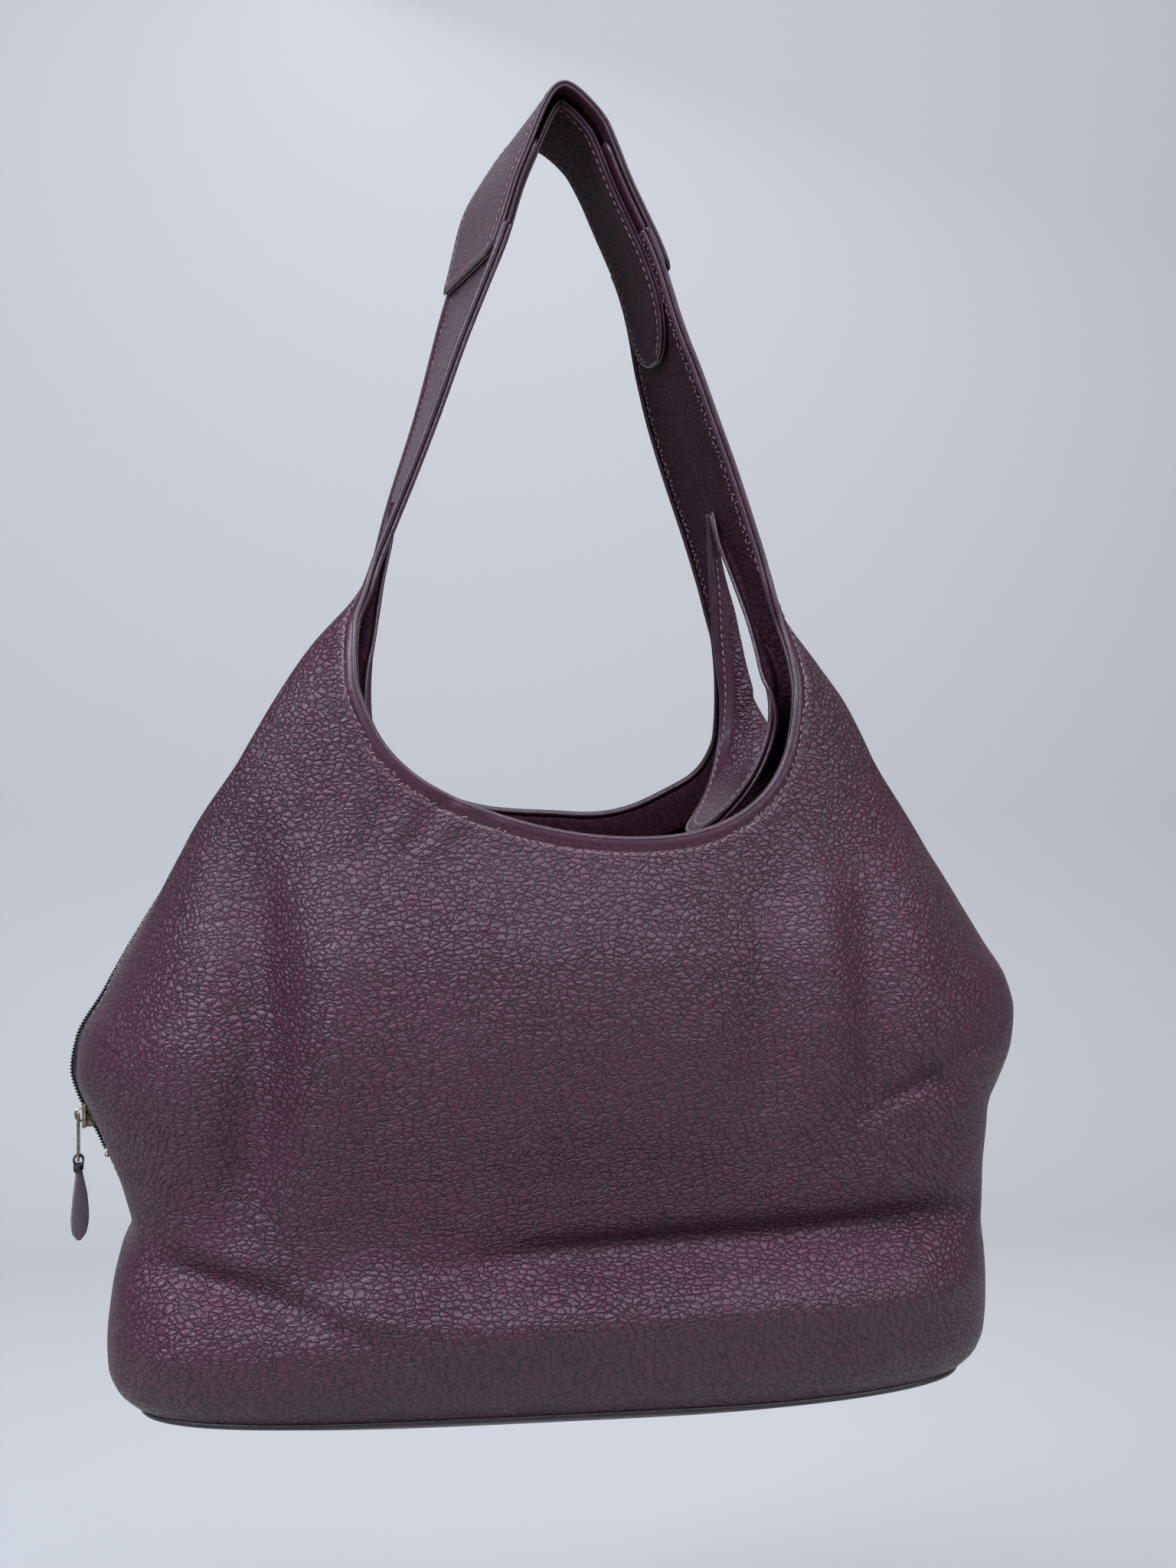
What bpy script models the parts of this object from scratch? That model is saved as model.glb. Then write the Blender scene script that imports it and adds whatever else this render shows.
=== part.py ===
"""A slouchy leather hobo bag that hangs by its wide strap.

Metres, +Z up, front towards -Y. Shapes are written with heights above the bag's base, and the base
frame lowers them all, so that the origin is where a hook bears on the underside of the strap's crest.
The leather is one closed wall of rounded-rectangle sections: a neckline cuts it open at the front
and the back, an armhole cuts it at each side, and what is left between them is four arms that join
in pairs into the strap.
"""

import math

import bmesh
import bpy
import numpy as np
from mathutils import Vector

# Driving dimensions
HANG_HEIGHT = 0.5957  # base to the underside of the strap's crest
SWING_HEIGHT = 0.385  # base to the axis that the bag swings about, across the arms
APEX_HEIGHT = 0.404  # base to the top of the armholes, where two arms join into one band
ARM_FOOT_HEIGHT = 0.363  # base to where the panels' corners become arms
NECK_HEIGHT = 0.262  # base to the lowest point of the necklines
SIDE_HEIGHT = 0.300  # base to the side walls' tops, at the bottom of the armholes
STRAP_HALF_WIDTH = 0.039
INNER_BAND_HALF_WIDTH = 0.031
OUTER_BAND_END = 0.522  # height where the strap's outer band ends on both sides
INNER_BAND_END = 0.496  # height of the tips of the inner band's round tabs
ARM_BAND_END = 0.562  # height where the arms' ends stop inside the strap
LEATHER = 0.0024  # panels
PANEL_FOOT = 0.0042  # base to a panel's lower edge, above the base seam
PANEL_ROWS = 14
ARM_LEATHER = 0.0026
BAND_LEATHER = 0.0012  # each of the strap's four thin layers
GAP = 0.0003  # between neighbours
EDGE_RADIUS = 0.0016  # turned edge along a neckline or a flap

# Section of the wall at each height: half-width, half-depth and squareness
HALF_WIDTH = [
    (0.0, 0.178), (0.004, 0.185), (0.012, 0.195), (0.026, 0.200), (0.060, 0.200), (0.092, 0.199),
    (0.110, 0.204), (0.130, 0.212), (0.205, 0.212), (0.228, 0.195), (0.256, 0.180), (0.288, 0.164),
    (0.313, 0.149), (0.338, 0.130), (0.363, 0.109), (0.389, 0.092), (0.404, 0.087),
]
HALF_DEPTH = [
    (0.0, 0.066), (0.012, 0.076), (0.030, 0.080), (0.150, 0.085), (0.220, 0.080), (0.262, 0.072),
    (0.300, 0.067), (0.363, 0.063), (0.404, 0.058),
]
SQUARENESS = [(0.0, 4.6), (0.060, 3.8), (0.150, 2.8), (0.262, 2.8), (0.363, 4.0), (0.404, 4.0)]
# Openings: half-width of a neckline and half-depth of an armhole at each height
NECK_HALF_WIDTH = [
    (0.262, 0.0), (0.263, 0.028), (0.267, 0.054), (0.275, 0.070), (0.285, 0.081), (0.300, 0.092),
    (0.320, 0.100), (0.340, 0.102), (0.363, 0.096),
]
ARMHOLE_HALF_DEPTH = [
    (0.300, 0.0), (0.302, 0.010), (0.308, 0.017), (0.320, 0.023), (0.340, 0.026), (0.363, 0.025),
    (0.404, 0.0005),
]
# Half of the strap's centreline, from an armhole's top to the flat crest: half-width, height
STRAP_PATH = [
    (0.0868, 0.4052), (0.0800, 0.428), (0.0715, 0.453), (0.0625, 0.479), (0.0545, 0.505),
    (0.0470, 0.528), (0.0385, 0.551), (0.0290, 0.573), (0.0165, 0.592), (0.0045, 0.600),
]

# Zip, on the left side
ZIP_BOTTOM = 0.124
ZIP_TOP = 0.279
ZIP_HALF_OPENING = 0.0044  # from the middle to each panel's edge
ZIP_WALL_X = -0.212  # middle of the wall along the slider's straight travel
TEETH_PITCH = 0.003
TEETH_PROUD = 0.0002  # outer face of the teeth beyond the wall's middle line
TAPE_WIDTH = 0.0095
TAPE_DEPTH = 0.0034  # tape inside the wall's middle line
SLIDER_HEIGHT = 0.137  # base to the middle of the slider at rest
SLIDER_LENGTH = 0.011
BAIL_X = -0.2184  # axis of the puller, under the bail
BAIL_RADIUS = 0.0027
PULLER_LENGTH = 0.019  # bail axis to the hole for the leather thong
LEAF_LENGTH = 0.032
LEAF_HALF_WIDTH = 0.0045


def through(points):
    """A smooth function through (position, value) points, which doesn't overshoot them."""
    at, value = np.array(points).T
    step = np.diff(at)
    slope = np.diff(value) / step
    tangent = np.concatenate([slope[:1], np.zeros(len(at) - 2), slope[-1:]])
    for i in range(1, len(at) - 1):
        if slope[i - 1] * slope[i] > 0:
            tangent[i] = 2 * slope[i - 1] * slope[i] / (slope[i - 1] + slope[i])

    def value_at(x):
        x = min(max(x, at[0]), at[-1])
        i = min(int(np.searchsorted(at, x, side="right")) - 1, len(step) - 1)
        t = (x - at[i]) / step[i]
        ends = (1 + 2 * t) * (1 - t) ** 2 * value[i] + t * t * (3 - 2 * t) * value[i + 1]
        return ends + step[i] * (t * (1 - t) ** 2 * tangent[i] + t * t * (t - 1) * tangent[i + 1])

    return value_at


half_width = through(HALF_WIDTH)
half_depth = through(HALF_DEPTH)
squareness = through(SQUARENESS)
neck_half_width = through(NECK_HALF_WIDTH)
armhole_half_depth = through(ARMHOLE_HALF_DEPTH)
zip_half_opening = through(
    [(0.0, 0.0004), (ZIP_BOTTOM - 0.030, 0.0004), (ZIP_BOTTOM - 0.015, ZIP_HALF_OPENING),
     (ZIP_TOP - 0.001, ZIP_HALF_OPENING), (ZIP_TOP + 0.018, 0.0004)]
)


def wall_at(angle, height, inset=0.0):
    """Point of the wall at an angle round its section: 0 is the right side, 90 degrees the front."""
    power = 2 / squareness(height)
    along = math.cos(angle)
    across = math.sin(angle)
    x = (half_width(height) - inset) * math.copysign(abs(along) ** power, along)
    y = -(half_depth(height) - inset) * math.copysign(abs(across) ** power, across)
    return Vector((x, y, height))


def wall_x(y, height, inset=0.0):
    """Half-width of the wall at a depth."""
    power = squareness(height)
    share = min(abs(y) / (half_depth(height) - inset), 1.0)
    return (half_width(height) - inset) * (1 - share**power) ** (1 / power)


def wall_y(x, height, inset=0.0):
    """Half-depth of the wall at a place along the width."""
    power = squareness(height)
    share = min(abs(x) / (half_width(height) - inset), 1.0)
    return (half_depth(height) - inset) * (1 - share**power) ** (1 / power)


def top_of_panel(angle):
    """Height where a neckline, an armhole or an arm's foot ends the panel, and which of them it is."""
    height = NECK_HEIGHT - 0.001
    while height < ARM_FOOT_HEIGHT:
        x, y, _ = wall_at(angle, height)
        if height > NECK_HEIGHT and abs(x) < neck_half_width(height):
            return height, "neck"
        if height > SIDE_HEIGHT and abs(y) < armhole_half_depth(height):
            return height, "armhole"
        height += 0.0002
    return ARM_FOOT_HEIGHT, "arm"


def smooth(mesh):
    mesh.shade_smooth()
    mesh.set_sharp_from_angle(angle=math.radians(40))


def grid_mesh(name, rows):
    """An open sheet through rows of points."""
    mesh = bpy.data.meshes.new(name)
    across = len(rows[0])
    faces = [
        (r * across + c, r * across + c + 1, (r + 1) * across + c + 1, (r + 1) * across + c)
        for r in range(len(rows) - 1)
        for c in range(across - 1)
    ]
    mesh.from_pydata([tuple(p) for row in rows for p in row], [], faces)
    smooth(mesh)
    return mesh


def swept_mesh(name, sections, closed=False):
    """A closed solid through sections of the same number of points, joined end to start if closed."""
    form = bmesh.new()
    rings = [[form.verts.new(p) for p in section] for section in sections]
    pairs = list(zip(rings, rings[1:] + rings[:1])) if closed else list(zip(rings, rings[1:]))
    for ring, after in pairs:
        for i in range(len(ring)):
            j = (i + 1) % len(ring)
            form.faces.new((ring[i], ring[j], after[j], after[i]))
    if not closed:
        form.faces.new(rings[0])
        form.faces.new(rings[-1])
    bmesh.ops.recalc_face_normals(form, faces=form.faces)
    mesh = bpy.data.meshes.new(name)
    form.to_mesh(mesh)
    form.free()
    smooth(mesh)
    return mesh


def tube_mesh(name, path, radius, sides=6, closed=False):
    """A round bar along a path."""
    path = [Vector(p) for p in path]
    sections = []
    side = None
    for i, point in enumerate(path):
        before = path[i - 1] if closed or i else point
        after = path[(i + 1) % len(path)] if closed or i < len(path) - 1 else point
        along = (after - before).normalized()
        start = side or along.orthogonal()
        side = (start - start.dot(along) * along).normalized()
        over = along.cross(side)
        turns = [2 * math.pi * k / sides for k in range(sides)]
        spokes = [math.cos(t) * side + math.sin(t) * over for t in turns]
        sections.append([point + radius * spoke for spoke in spokes])
    return swept_mesh(name, sections, closed)


def extruded_mesh(name, outline, lift, holes=()):
    """A flat outline with round or slotted holes, given thickness along lift."""
    form = bmesh.new()
    edges = []
    for loop in (outline, *holes):
        corners = [form.verts.new(p) for p in loop]
        edges += [form.edges.new((a, b)) for a, b in zip(corners, corners[1:] + corners[:1])]
    filled = bmesh.ops.triangle_fill(form, use_beauty=True, use_dissolve=False, edges=edges)
    faces = [f for f in filled["geom"] if isinstance(f, bmesh.types.BMFace)]
    risen = bmesh.ops.extrude_face_region(form, geom=faces)
    up = [v for v in risen["geom"] if isinstance(v, bmesh.types.BMVert)]
    bmesh.ops.translate(form, verts=up, vec=lift)
    bmesh.ops.recalc_face_normals(form, faces=form.faces)
    mesh = bpy.data.meshes.new(name)
    form.to_mesh(mesh)
    form.free()
    smooth(mesh)
    return mesh


def material(name, colour, roughness, metallic=0.0):
    made = bpy.data.materials.new(name)
    made.use_nodes = True
    shader = made.node_tree.nodes["Principled BSDF"]
    shader.inputs["Base Color"].default_value = (*colour, 1.0)
    shader.inputs["Roughness"].default_value = roughness
    shader.inputs["Metallic"].default_value = metallic
    return made


def frame_at(name, place, parent=None):
    """An empty on a joint's axis. Its place is in the bag's own heights."""
    empty = bpy.data.objects.new(name, None)
    bpy.context.collection.objects.link(empty)
    empty["place"] = place
    empty.location = Vector(place)
    if parent:
        empty.parent = parent
        empty.location -= Vector(parent["place"])
    else:
        empty.location.z -= HANG_HEIGHT
    return empty


def node(mesh, finish, frame, thickness=0.0, local=False):
    """One named piece on a frame. A sheet gets its thickness, half of it on each side."""
    piece = bpy.data.objects.new(mesh.name, mesh)
    bpy.context.collection.objects.link(piece)
    mesh.materials.append(finish)
    piece.parent = frame
    if not local:
        piece.location = -Vector(frame["place"])
    if thickness:
        solid = piece.modifiers.new("Thickness", "SOLIDIFY")
        solid.thickness = thickness
        solid.offset = 0.0
        solid.use_even_offset = True
    return piece


# Body of the bag


def panel_columns(half_count=22):
    """Angles from one side of a panel to the other, closer together at the rounded corners."""
    spread = [math.pi * i / (2 * half_count) for i in range(1, 2 * half_count)]
    return [a + 0.12 * math.sin(4 * a) for a in spread]


def row_heights(top):
    """Heights of a panel's rows between its foot and a column's top."""
    return [PANEL_FOOT + (top - PANEL_FOOT) * r / PANEL_ROWS for r in range(PANEL_ROWS + 1)]


def add_panel(name, front, frame, finish):
    """The front or back leather. Its left edge bows away from the zip."""
    columns = []
    for angle in panel_columns():
        top, _ = top_of_panel(angle)
        columns.append([wall_at(angle, h) for h in row_heights(top)])
    right = []
    left = []
    for height in row_heights(SIDE_HEIGHT):
        right.append(Vector((wall_x(0.0004, height), -0.0004, height)))
        opening = zip_half_opening(height)
        left.append(Vector((-wall_x(opening, height), -opening, height)))
    columns = [right, *columns, left]
    rows = [[Vector((p.x, p.y * front, p.z)) for p in row] for row in zip(*columns)]
    return node(grid_mesh(name, rows), finish, frame, LEATHER)


def neck_line(inside):
    """Points (x, height) along a neckline from right to left, moved into its opening."""
    line = []
    for angle in panel_columns():
        top, ends_at = top_of_panel(angle)
        if ends_at == "neck":
            line.append(Vector((wall_at(angle, top).x, top)))
    moved = []
    for i, point in enumerate(line):
        along = line[min(i + 1, len(line) - 1)] - line[max(i - 1, 0)]
        moved.append(point + inside * Vector((along.y, -along.x)).normalized())
    return moved


def add_neck_edge(name, front, frame, finish):
    clear = EDGE_RADIUS + GAP + 0.0004
    line = [(p.x, -front * wall_y(p.x, p.y), p.y) for p in neck_line(clear)]
    node(tube_mesh(name, line, EDGE_RADIUS), finish, frame)


def add_neck_facing(name, front, frame, finish, width=0.022):
    """The second layer, a strip inside the panel that follows the neckline."""
    inset = LEATHER / 2 + GAP + BAND_LEATHER / 2 + 0.0004
    rows = []
    for step in range(3):
        drop = 0.003 + width * step / 2
        line = [p for p in neck_line(-drop) if abs(p.x) < half_width(p.y) - 0.012]
        rows.append([(p.x, -front * wall_y(p.x, p.y, inset), p.y) for p in line])
    count = min(len(row) for row in rows)
    rows = [row[(len(row) - count) // 2 :][:count] for row in rows]
    node(grid_mesh(name, rows), finish, frame, BAND_LEATHER)


def base_outline(half_x, half_y, height, count=48):
    power = 2 / squareness(0.0)
    turns = [2 * math.pi * i / count for i in range(count)]
    return [
        (
            half_x * math.copysign(abs(math.cos(t)) ** power, math.cos(t)),
            half_y * math.copysign(abs(math.sin(t)) ** power, math.sin(t)),
            height,
        )
        for t in turns
    ]


def add_base(frame, leather, board, strip):
    half_x = half_width(0.0)
    half_y = half_depth(0.0)
    seam_line = base_outline(half_x, half_y, 0.0016)
    node(tube_mesh("base_seam_strip", seam_line, 0.0014, closed=True), strip, frame)
    plate = base_outline(half_x - 0.002, half_y - 0.002, 0.0)
    node(extruded_mesh("bottom_panel", plate, (0, 0, LEATHER)), leather, frame)
    stiff = base_outline(half_x - 0.008, half_y - 0.008, LEATHER + GAP)
    node(extruded_mesh("bottom_board", stiff, (0, 0, 0.002)), board, frame)


def add_side_seam(frame, finish):
    """A strip inside the right side that the two panels are sewn to."""
    inset = LEATHER / 2 + GAP + BAND_LEATHER / 2 + 0.0020
    heights = row_heights(SIDE_HEIGHT)[1:-1]
    rows = [[(wall_x(y, h, inset), y, h) for y in (-0.006, 0.0, 0.006)] for h in heights]
    node(grid_mesh("right_side_seam", rows), finish, frame, BAND_LEATHER)


def add_flap(side, sign, frame, leather, edge):
    """The side wall's top, rolled inwards over the armhole's bottom and hanging into the mouth."""
    root_inset = 0.0035
    lip_x = 0.078
    lip_height = 0.273
    lip_depth = 0.050
    rows = []
    for step in range(5):
        share = step / 4
        row = []
        for i in range(9):
            place = -1 + i / 4
            root_y = 0.019 * place
            root_height = SIDE_HEIGHT + 0.004 + 0.011 * place * place
            root_x = wall_x(root_y, root_height, root_inset) - 0.004
            arch = 0.004 * math.sin(math.pi * share)
            row.append(
                (
                    sign * ((1 - share) * root_x + share * lip_x),
                    (1 - share) * root_y + share * lip_depth * place,
                    (1 - share) * root_height + share * lip_height + arch,
                )
            )
        rows.append(row)
    node(grid_mesh(f"{side}_side_flap", rows), leather, frame, LEATHER)
    clear = LEATHER / 2 + EDGE_RADIUS
    line = [(x - sign * clear, y, z - 0.001) for x, y, z in rows[-1]]
    node(tube_mesh(f"{side}_flap_edge", line, EDGE_RADIUS), edge, frame)


# Arms and strap


def add_arm(name, front, sign, frame, finish):
    rows = []
    low = ARM_FOOT_HEIGHT + GAP
    high = APEX_HEIGHT - GAP
    foot_edge = wall_y(neck_half_width(ARM_FOOT_HEIGHT), ARM_FOOT_HEIGHT)
    for r in range(6):
        height = low + (high - low) * r / 5
        inner = armhole_half_depth(height)
        outer = foot_edge + (STRAP_HALF_WIDTH - foot_edge) * r / 5
        depths = [inner + (outer - inner) * c / 4 for c in range(5)]
        rows.append([(sign * wall_x(y, height), -front * y, height) for y in depths])
    node(grid_mesh(name, rows), finish, frame, ARM_LEATHER)


def strap_path(start_height, end_height=None):
    """Points (x, height) of the centreline. It runs over the crest unless it ends on the way up."""
    across = through([(h, x) for x, h in STRAP_PATH])
    top = end_height or STRAP_PATH[-1][1]
    heights = [start_height + (top - start_height) * (1 - (1 - i / 14) ** 1.6) for i in range(15)]
    half = [Vector((across(h), h)) for h in heights]
    return half if end_height else half + [Vector((-p.x, p.y)) for p in reversed(half)]


def ribbon_mesh(name, path, offset, thickness, half_widths):
    """A flat band along a path in the XZ plane, offset outwards from it."""
    sections = []
    for i, point in enumerate(path):
        before = (point - path[i - 1]).normalized() if i else None
        after = (path[i + 1] - point).normalized() if i < len(path) - 1 else before
        before = before or after
        along = (before + after).normalized()
        out = Vector((along.y, -along.x)) / along.dot(after)
        near = point + out * (offset - thickness / 2)
        far = point + out * (offset + thickness / 2)
        reach = half_widths[i]
        corners = [(near, -reach), (near, reach), (far, reach), (far, -reach)]
        sections.append([(at.x, y, at.y) for at, y in corners])
    return swept_mesh(name, sections)


def add_strap(frame, leather, lining):
    """Two thin layers outside the arms' ends and two inside them, which end in round tabs."""
    core = ARM_LEATHER / 2 + GAP + BAND_LEATHER / 2
    skin = core + BAND_LEATHER + GAP
    outer = strap_path(OUTER_BAND_END)
    full = [STRAP_HALF_WIDTH] * len(outer)
    node(ribbon_mesh("strap_outer_band", outer, skin, BAND_LEATHER, full), leather, frame)
    slim = [STRAP_HALF_WIDTH - 0.001] * len(outer)
    node(ribbon_mesh("strap_outer_lining", outer, core, BAND_LEATHER, slim), lining, frame)
    inner = strap_path(INNER_BAND_END)
    run = np.cumsum([0.0] + [(b - a).length for a, b in zip(inner, inner[1:])])
    reaches = []
    for distance in np.minimum(run, run[-1] - run):
        share = min((distance + 0.004) / INNER_BAND_HALF_WIDTH, 1.0)
        reaches.append(INNER_BAND_HALF_WIDTH * math.sqrt(1 - (1 - share) ** 2))
    node(ribbon_mesh("strap_inner_band", inner, -core, BAND_LEATHER, reaches), lining, frame)
    node(ribbon_mesh("strap_inner_lining", inner, -skin, BAND_LEATHER, reaches), leather, frame)
    for side, sign in (("right", 1), ("left", -1)):
        path = strap_path(STRAP_PATH[0][1], ARM_BAND_END)
        path = [Vector((sign * p.x, p.y)) for p in path]
        reaches = [STRAP_HALF_WIDTH] * len(path)
        band = ribbon_mesh(f"{side}_arm_band", path, 0.0, ARM_LEATHER, reaches)
        node(band, leather, frame)


# Zip


def beside_wall(height, proud=0.0):
    """Place (x, height) on the left wall's middle line, or proud of it."""
    return -half_width(height) - proud, height


def bar_section(x, thickness, low_y, high_y, height):
    """Corners of a bar's section that reaches outwards from x."""
    out = x - thickness
    return [(x, low_y, height), (x, high_y, height), (out, high_y, height), (out, low_y, height)]


def add_zip(frame, tape_cloth, teeth_plastic, metal):
    tooth_count = round((ZIP_TOP - ZIP_BOTTOM) / TEETH_PITCH)
    for name, sign in (("front", -1), ("back", 1)):
        heights = [h for h in row_heights(SIDE_HEIGHT) if ZIP_BOTTOM - 0.015 < h < ZIP_TOP]
        middle = [beside_wall(h, -TAPE_DEPTH) for h in heights]
        rows = [[(x, sign * y, h) for y in (0.0012, TAPE_WIDTH)] for x, h in middle]
        node(grid_mesh(f"zip_tape_{name}", rows), tape_cloth, frame, 0.0006)
        sections = []
        for i in range(2 * tooth_count + 1):
            x, height = beside_wall(ZIP_BOTTOM + i * TEETH_PITCH / 2, TEETH_PROUD)
            ends = sorted((sign * (0.0014 if i % 2 else 0.0009), sign * 0.0027))
            sections.append(bar_section(x, 0.0020, *ends, height))
        node(swept_mesh(f"zip_teeth_{name}", sections), teeth_plastic, frame)
    for name, height in (("bottom", ZIP_BOTTOM - 0.0045), ("top", ZIP_TOP + 0.0015)):
        ends = [beside_wall(height + rise, TEETH_PROUD) for rise in (0.0, 0.0035)]
        block = [bar_section(x, 0.0022, -0.0024, 0.0024, h) for x, h in ends]
        node(swept_mesh(f"zip_{name}_stop", block), metal, frame)


def add_slider(frame, metal):
    """Two plates joined by a post that runs between the rows of teeth, with a bail for the puller."""
    # Distances outwards from the wall's middle to the plates' faces
    skin = 0.0028
    face = 0.0044
    inner_face = -0.0041
    inner_back = -0.0051
    # Half-widths of the outer plate, the inner plate and the post
    wide = 0.0040
    slim = 0.0034
    post = 0.0005
    half_outline = [
        (face, wide), (skin, wide), (skin, post), (inner_face, post), (inner_face, slim),
        (inner_back, slim),
    ]
    outline = half_outline + [(x, -y) for x, y in reversed(half_outline)]
    shift = ZIP_WALL_X - BAIL_X
    flat = [(shift - x, y, -SLIDER_LENGTH / 2) for x, y in outline]
    body = node(extruded_mesh("zip_slider", flat, (0, 0, SLIDER_LENGTH)), metal, frame, local=True)
    turns = [math.pi * i / 8 for i in range(9)]
    crown = [(0.0007 - 0.0021 * math.sin(t), 0.0, BAIL_RADIUS * math.cos(t)) for t in turns]
    foot_x = shift - face + 0.0006
    path = [(foot_x, 0.0, BAIL_RADIUS), *crown, (foot_x, 0.0, -BAIL_RADIUS)]
    bail = node(tube_mesh("zip_slider_bail", path, 0.00055, sides=8), metal, frame, local=True)
    bail.hide_render = True
    bail.display_type = "WIRE"
    join = body.modifiers.new("Bail", "BOOLEAN")
    join.operation = "UNION"
    join.object = bail


def add_puller(frame, metal):
    """A flat bar with a slot round the bail at its top and a hole for the thong at its foot."""
    half = 0.0021
    thickness = 0.0010
    foot_radius = 0.0024
    arc = [math.pi * i / 8 for i in range(9)]
    foot = [(-foot_radius * math.cos(t), -PULLER_LENGTH - foot_radius * math.sin(t)) for t in arc]
    outline = [(half, 0.0006), (-half, 0.0006), *foot]
    slot = [(0.0010, -0.0006), (0.0010, -0.0056), (-0.0010, -0.0056), (-0.0010, -0.0006)]
    hole = [(0.0013 * math.cos(2 * t), -PULLER_LENGTH + 0.0013 * math.sin(2 * t)) for t in arc[:-1]]
    flat, slot, hole = ([(-thickness / 2, y, z) for y, z in loop] for loop in (outline, slot, hole))
    bar = extruded_mesh("zip_puller", flat, (thickness, 0, 0), holes=(slot, hole))
    node(bar, metal, frame, local=True)


def add_leaf(frame, thong, leaf):
    """A thong ring through the puller's hole and the leaf that hangs from it."""
    ring = 0.0024
    bar = 0.0008
    turns = [2 * math.pi * i / 14 for i in range(14)]
    loop = [(ring * math.sin(t), 0.0, -ring + ring * math.cos(t)) for t in turns]
    node(tube_mesh("zip_pull_knot", loop, bar, closed=True), thong, frame, local=True)
    top = -2 * ring - bar - GAP
    width_at = through([(0, 0.3), (0.12, 0.42), (0.45, 0.85), (0.72, 1), (0.9, 0.78), (1, 0.25)])
    shares = [i / 12 for i in range(13)]
    right = [(LEAF_HALF_WIDTH * width_at(s), top - LEAF_LENGTH * s) for s in shares]
    outline = right + [(-y, z) for y, z in reversed(right)]
    flat = [(-0.0008, y, z) for y, z in outline]
    node(extruded_mesh("zip_pull_leaf", flat, (0.0016, 0, 0)), leaf, frame, local=True)


def main():
    for thing in list(bpy.data.objects):
        bpy.data.objects.remove(thing, do_unlink=True)
    leather = material("burgundy_leather", (0.085, 0.032, 0.046), 0.45)
    edge = material("turned_edge", (0.060, 0.022, 0.032), 0.40)
    lining = material("dark_lining", (0.030, 0.012, 0.020), 0.60)
    strip = material("edge_paint", (0.020, 0.010, 0.012), 0.45)
    board = material("base_board", (0.180, 0.150, 0.120), 0.90)
    cloth = material("zip_tape", (0.018, 0.012, 0.016), 0.95)
    plastic = material("zip_teeth", (0.020, 0.020, 0.024), 0.35)
    metal = material("aged_brass", (0.300, 0.260, 0.170), 0.35, 1.0)
    suede = material("suede_side", (0.200, 0.120, 0.130), 0.90)

    strap = frame_at("strap_frame", (0, 0, 0))
    bag = frame_at("bag_frame", (0, 0, SWING_HEIGHT), strap)
    slider = frame_at("slider_frame", (BAIL_X, 0, SLIDER_HEIGHT), bag)
    puller = frame_at("puller_frame", (BAIL_X, 0, SLIDER_HEIGHT), slider)
    thong = frame_at("leaf_frame", (BAIL_X, 0, SLIDER_HEIGHT - PULLER_LENGTH), puller)

    for name, front in (("front", 1), ("back", -1)):
        add_panel(f"{name}_panel", front, bag, leather)
        add_neck_edge(f"{name}_neck_edge", front, bag, edge)
        add_neck_facing(f"{name}_neck_facing", front, bag, lining)
        for side, sign in (("right", 1), ("left", -1)):
            add_arm(f"{name}_{side}_arm", front, sign, strap, leather)
    add_base(bag, leather, board, strip)
    add_side_seam(bag, lining)
    for side, sign in (("right", 1), ("left", -1)):
        add_flap(side, sign, bag, leather, edge)
    add_strap(strap, leather, lining)
    add_zip(bag, cloth, plastic, metal)
    add_slider(slider, metal)
    add_puller(puller, metal)
    add_leaf(thong, strip, suede)


main()
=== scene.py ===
"""Looks of a slouchy burgundy leather hobo bag that hangs by its wide strap.

Shapes are written in millimetres with heights above the bag's base, and `place` turns them into the
frame's metres. The wall is one surface: rounded sections with listed folds, a neckline at the
front and the back, an armhole at each side, and four arms that join in pairs into the strap.
"""

import math

import bpy
import numpy as np
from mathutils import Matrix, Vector
from mathutils.bvhtree import BVHTree


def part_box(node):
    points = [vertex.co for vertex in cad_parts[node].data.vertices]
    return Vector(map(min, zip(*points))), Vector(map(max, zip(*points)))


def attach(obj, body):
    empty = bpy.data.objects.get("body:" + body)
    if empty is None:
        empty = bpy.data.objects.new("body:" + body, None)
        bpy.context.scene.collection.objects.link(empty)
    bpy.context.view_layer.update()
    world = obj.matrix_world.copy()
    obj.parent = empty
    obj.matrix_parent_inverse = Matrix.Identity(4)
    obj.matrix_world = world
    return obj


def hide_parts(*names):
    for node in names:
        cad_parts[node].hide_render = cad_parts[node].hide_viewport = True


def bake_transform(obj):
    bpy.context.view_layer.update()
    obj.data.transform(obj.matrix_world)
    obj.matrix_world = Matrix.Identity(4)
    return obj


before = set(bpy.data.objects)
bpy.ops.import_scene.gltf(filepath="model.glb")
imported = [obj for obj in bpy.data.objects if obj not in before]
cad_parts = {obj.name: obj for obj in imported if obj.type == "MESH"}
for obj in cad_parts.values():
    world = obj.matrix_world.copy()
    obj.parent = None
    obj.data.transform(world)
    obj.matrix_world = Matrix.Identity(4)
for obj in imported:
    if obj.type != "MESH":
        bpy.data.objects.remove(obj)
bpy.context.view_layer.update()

HANG = 595.7  # base to the underside of the strap's crest
LEATHER = 2.4  # thickness of the panels
STRAP_HALF = 39.0  # half of the strap's width
JOIN = 331.0  # height where the panels' corners become arms
FOLD_DEPTH = 1.55  # scale of the folds at the front
EDGE_RISE = 11.0  # how far the soft base's edge rises past its middle
BAND_TOP = 548.0  # where the arms' ends stop inside the strap
UP = np.array([0.0, 0.0, 1.0])


# Shape helpers


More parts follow.
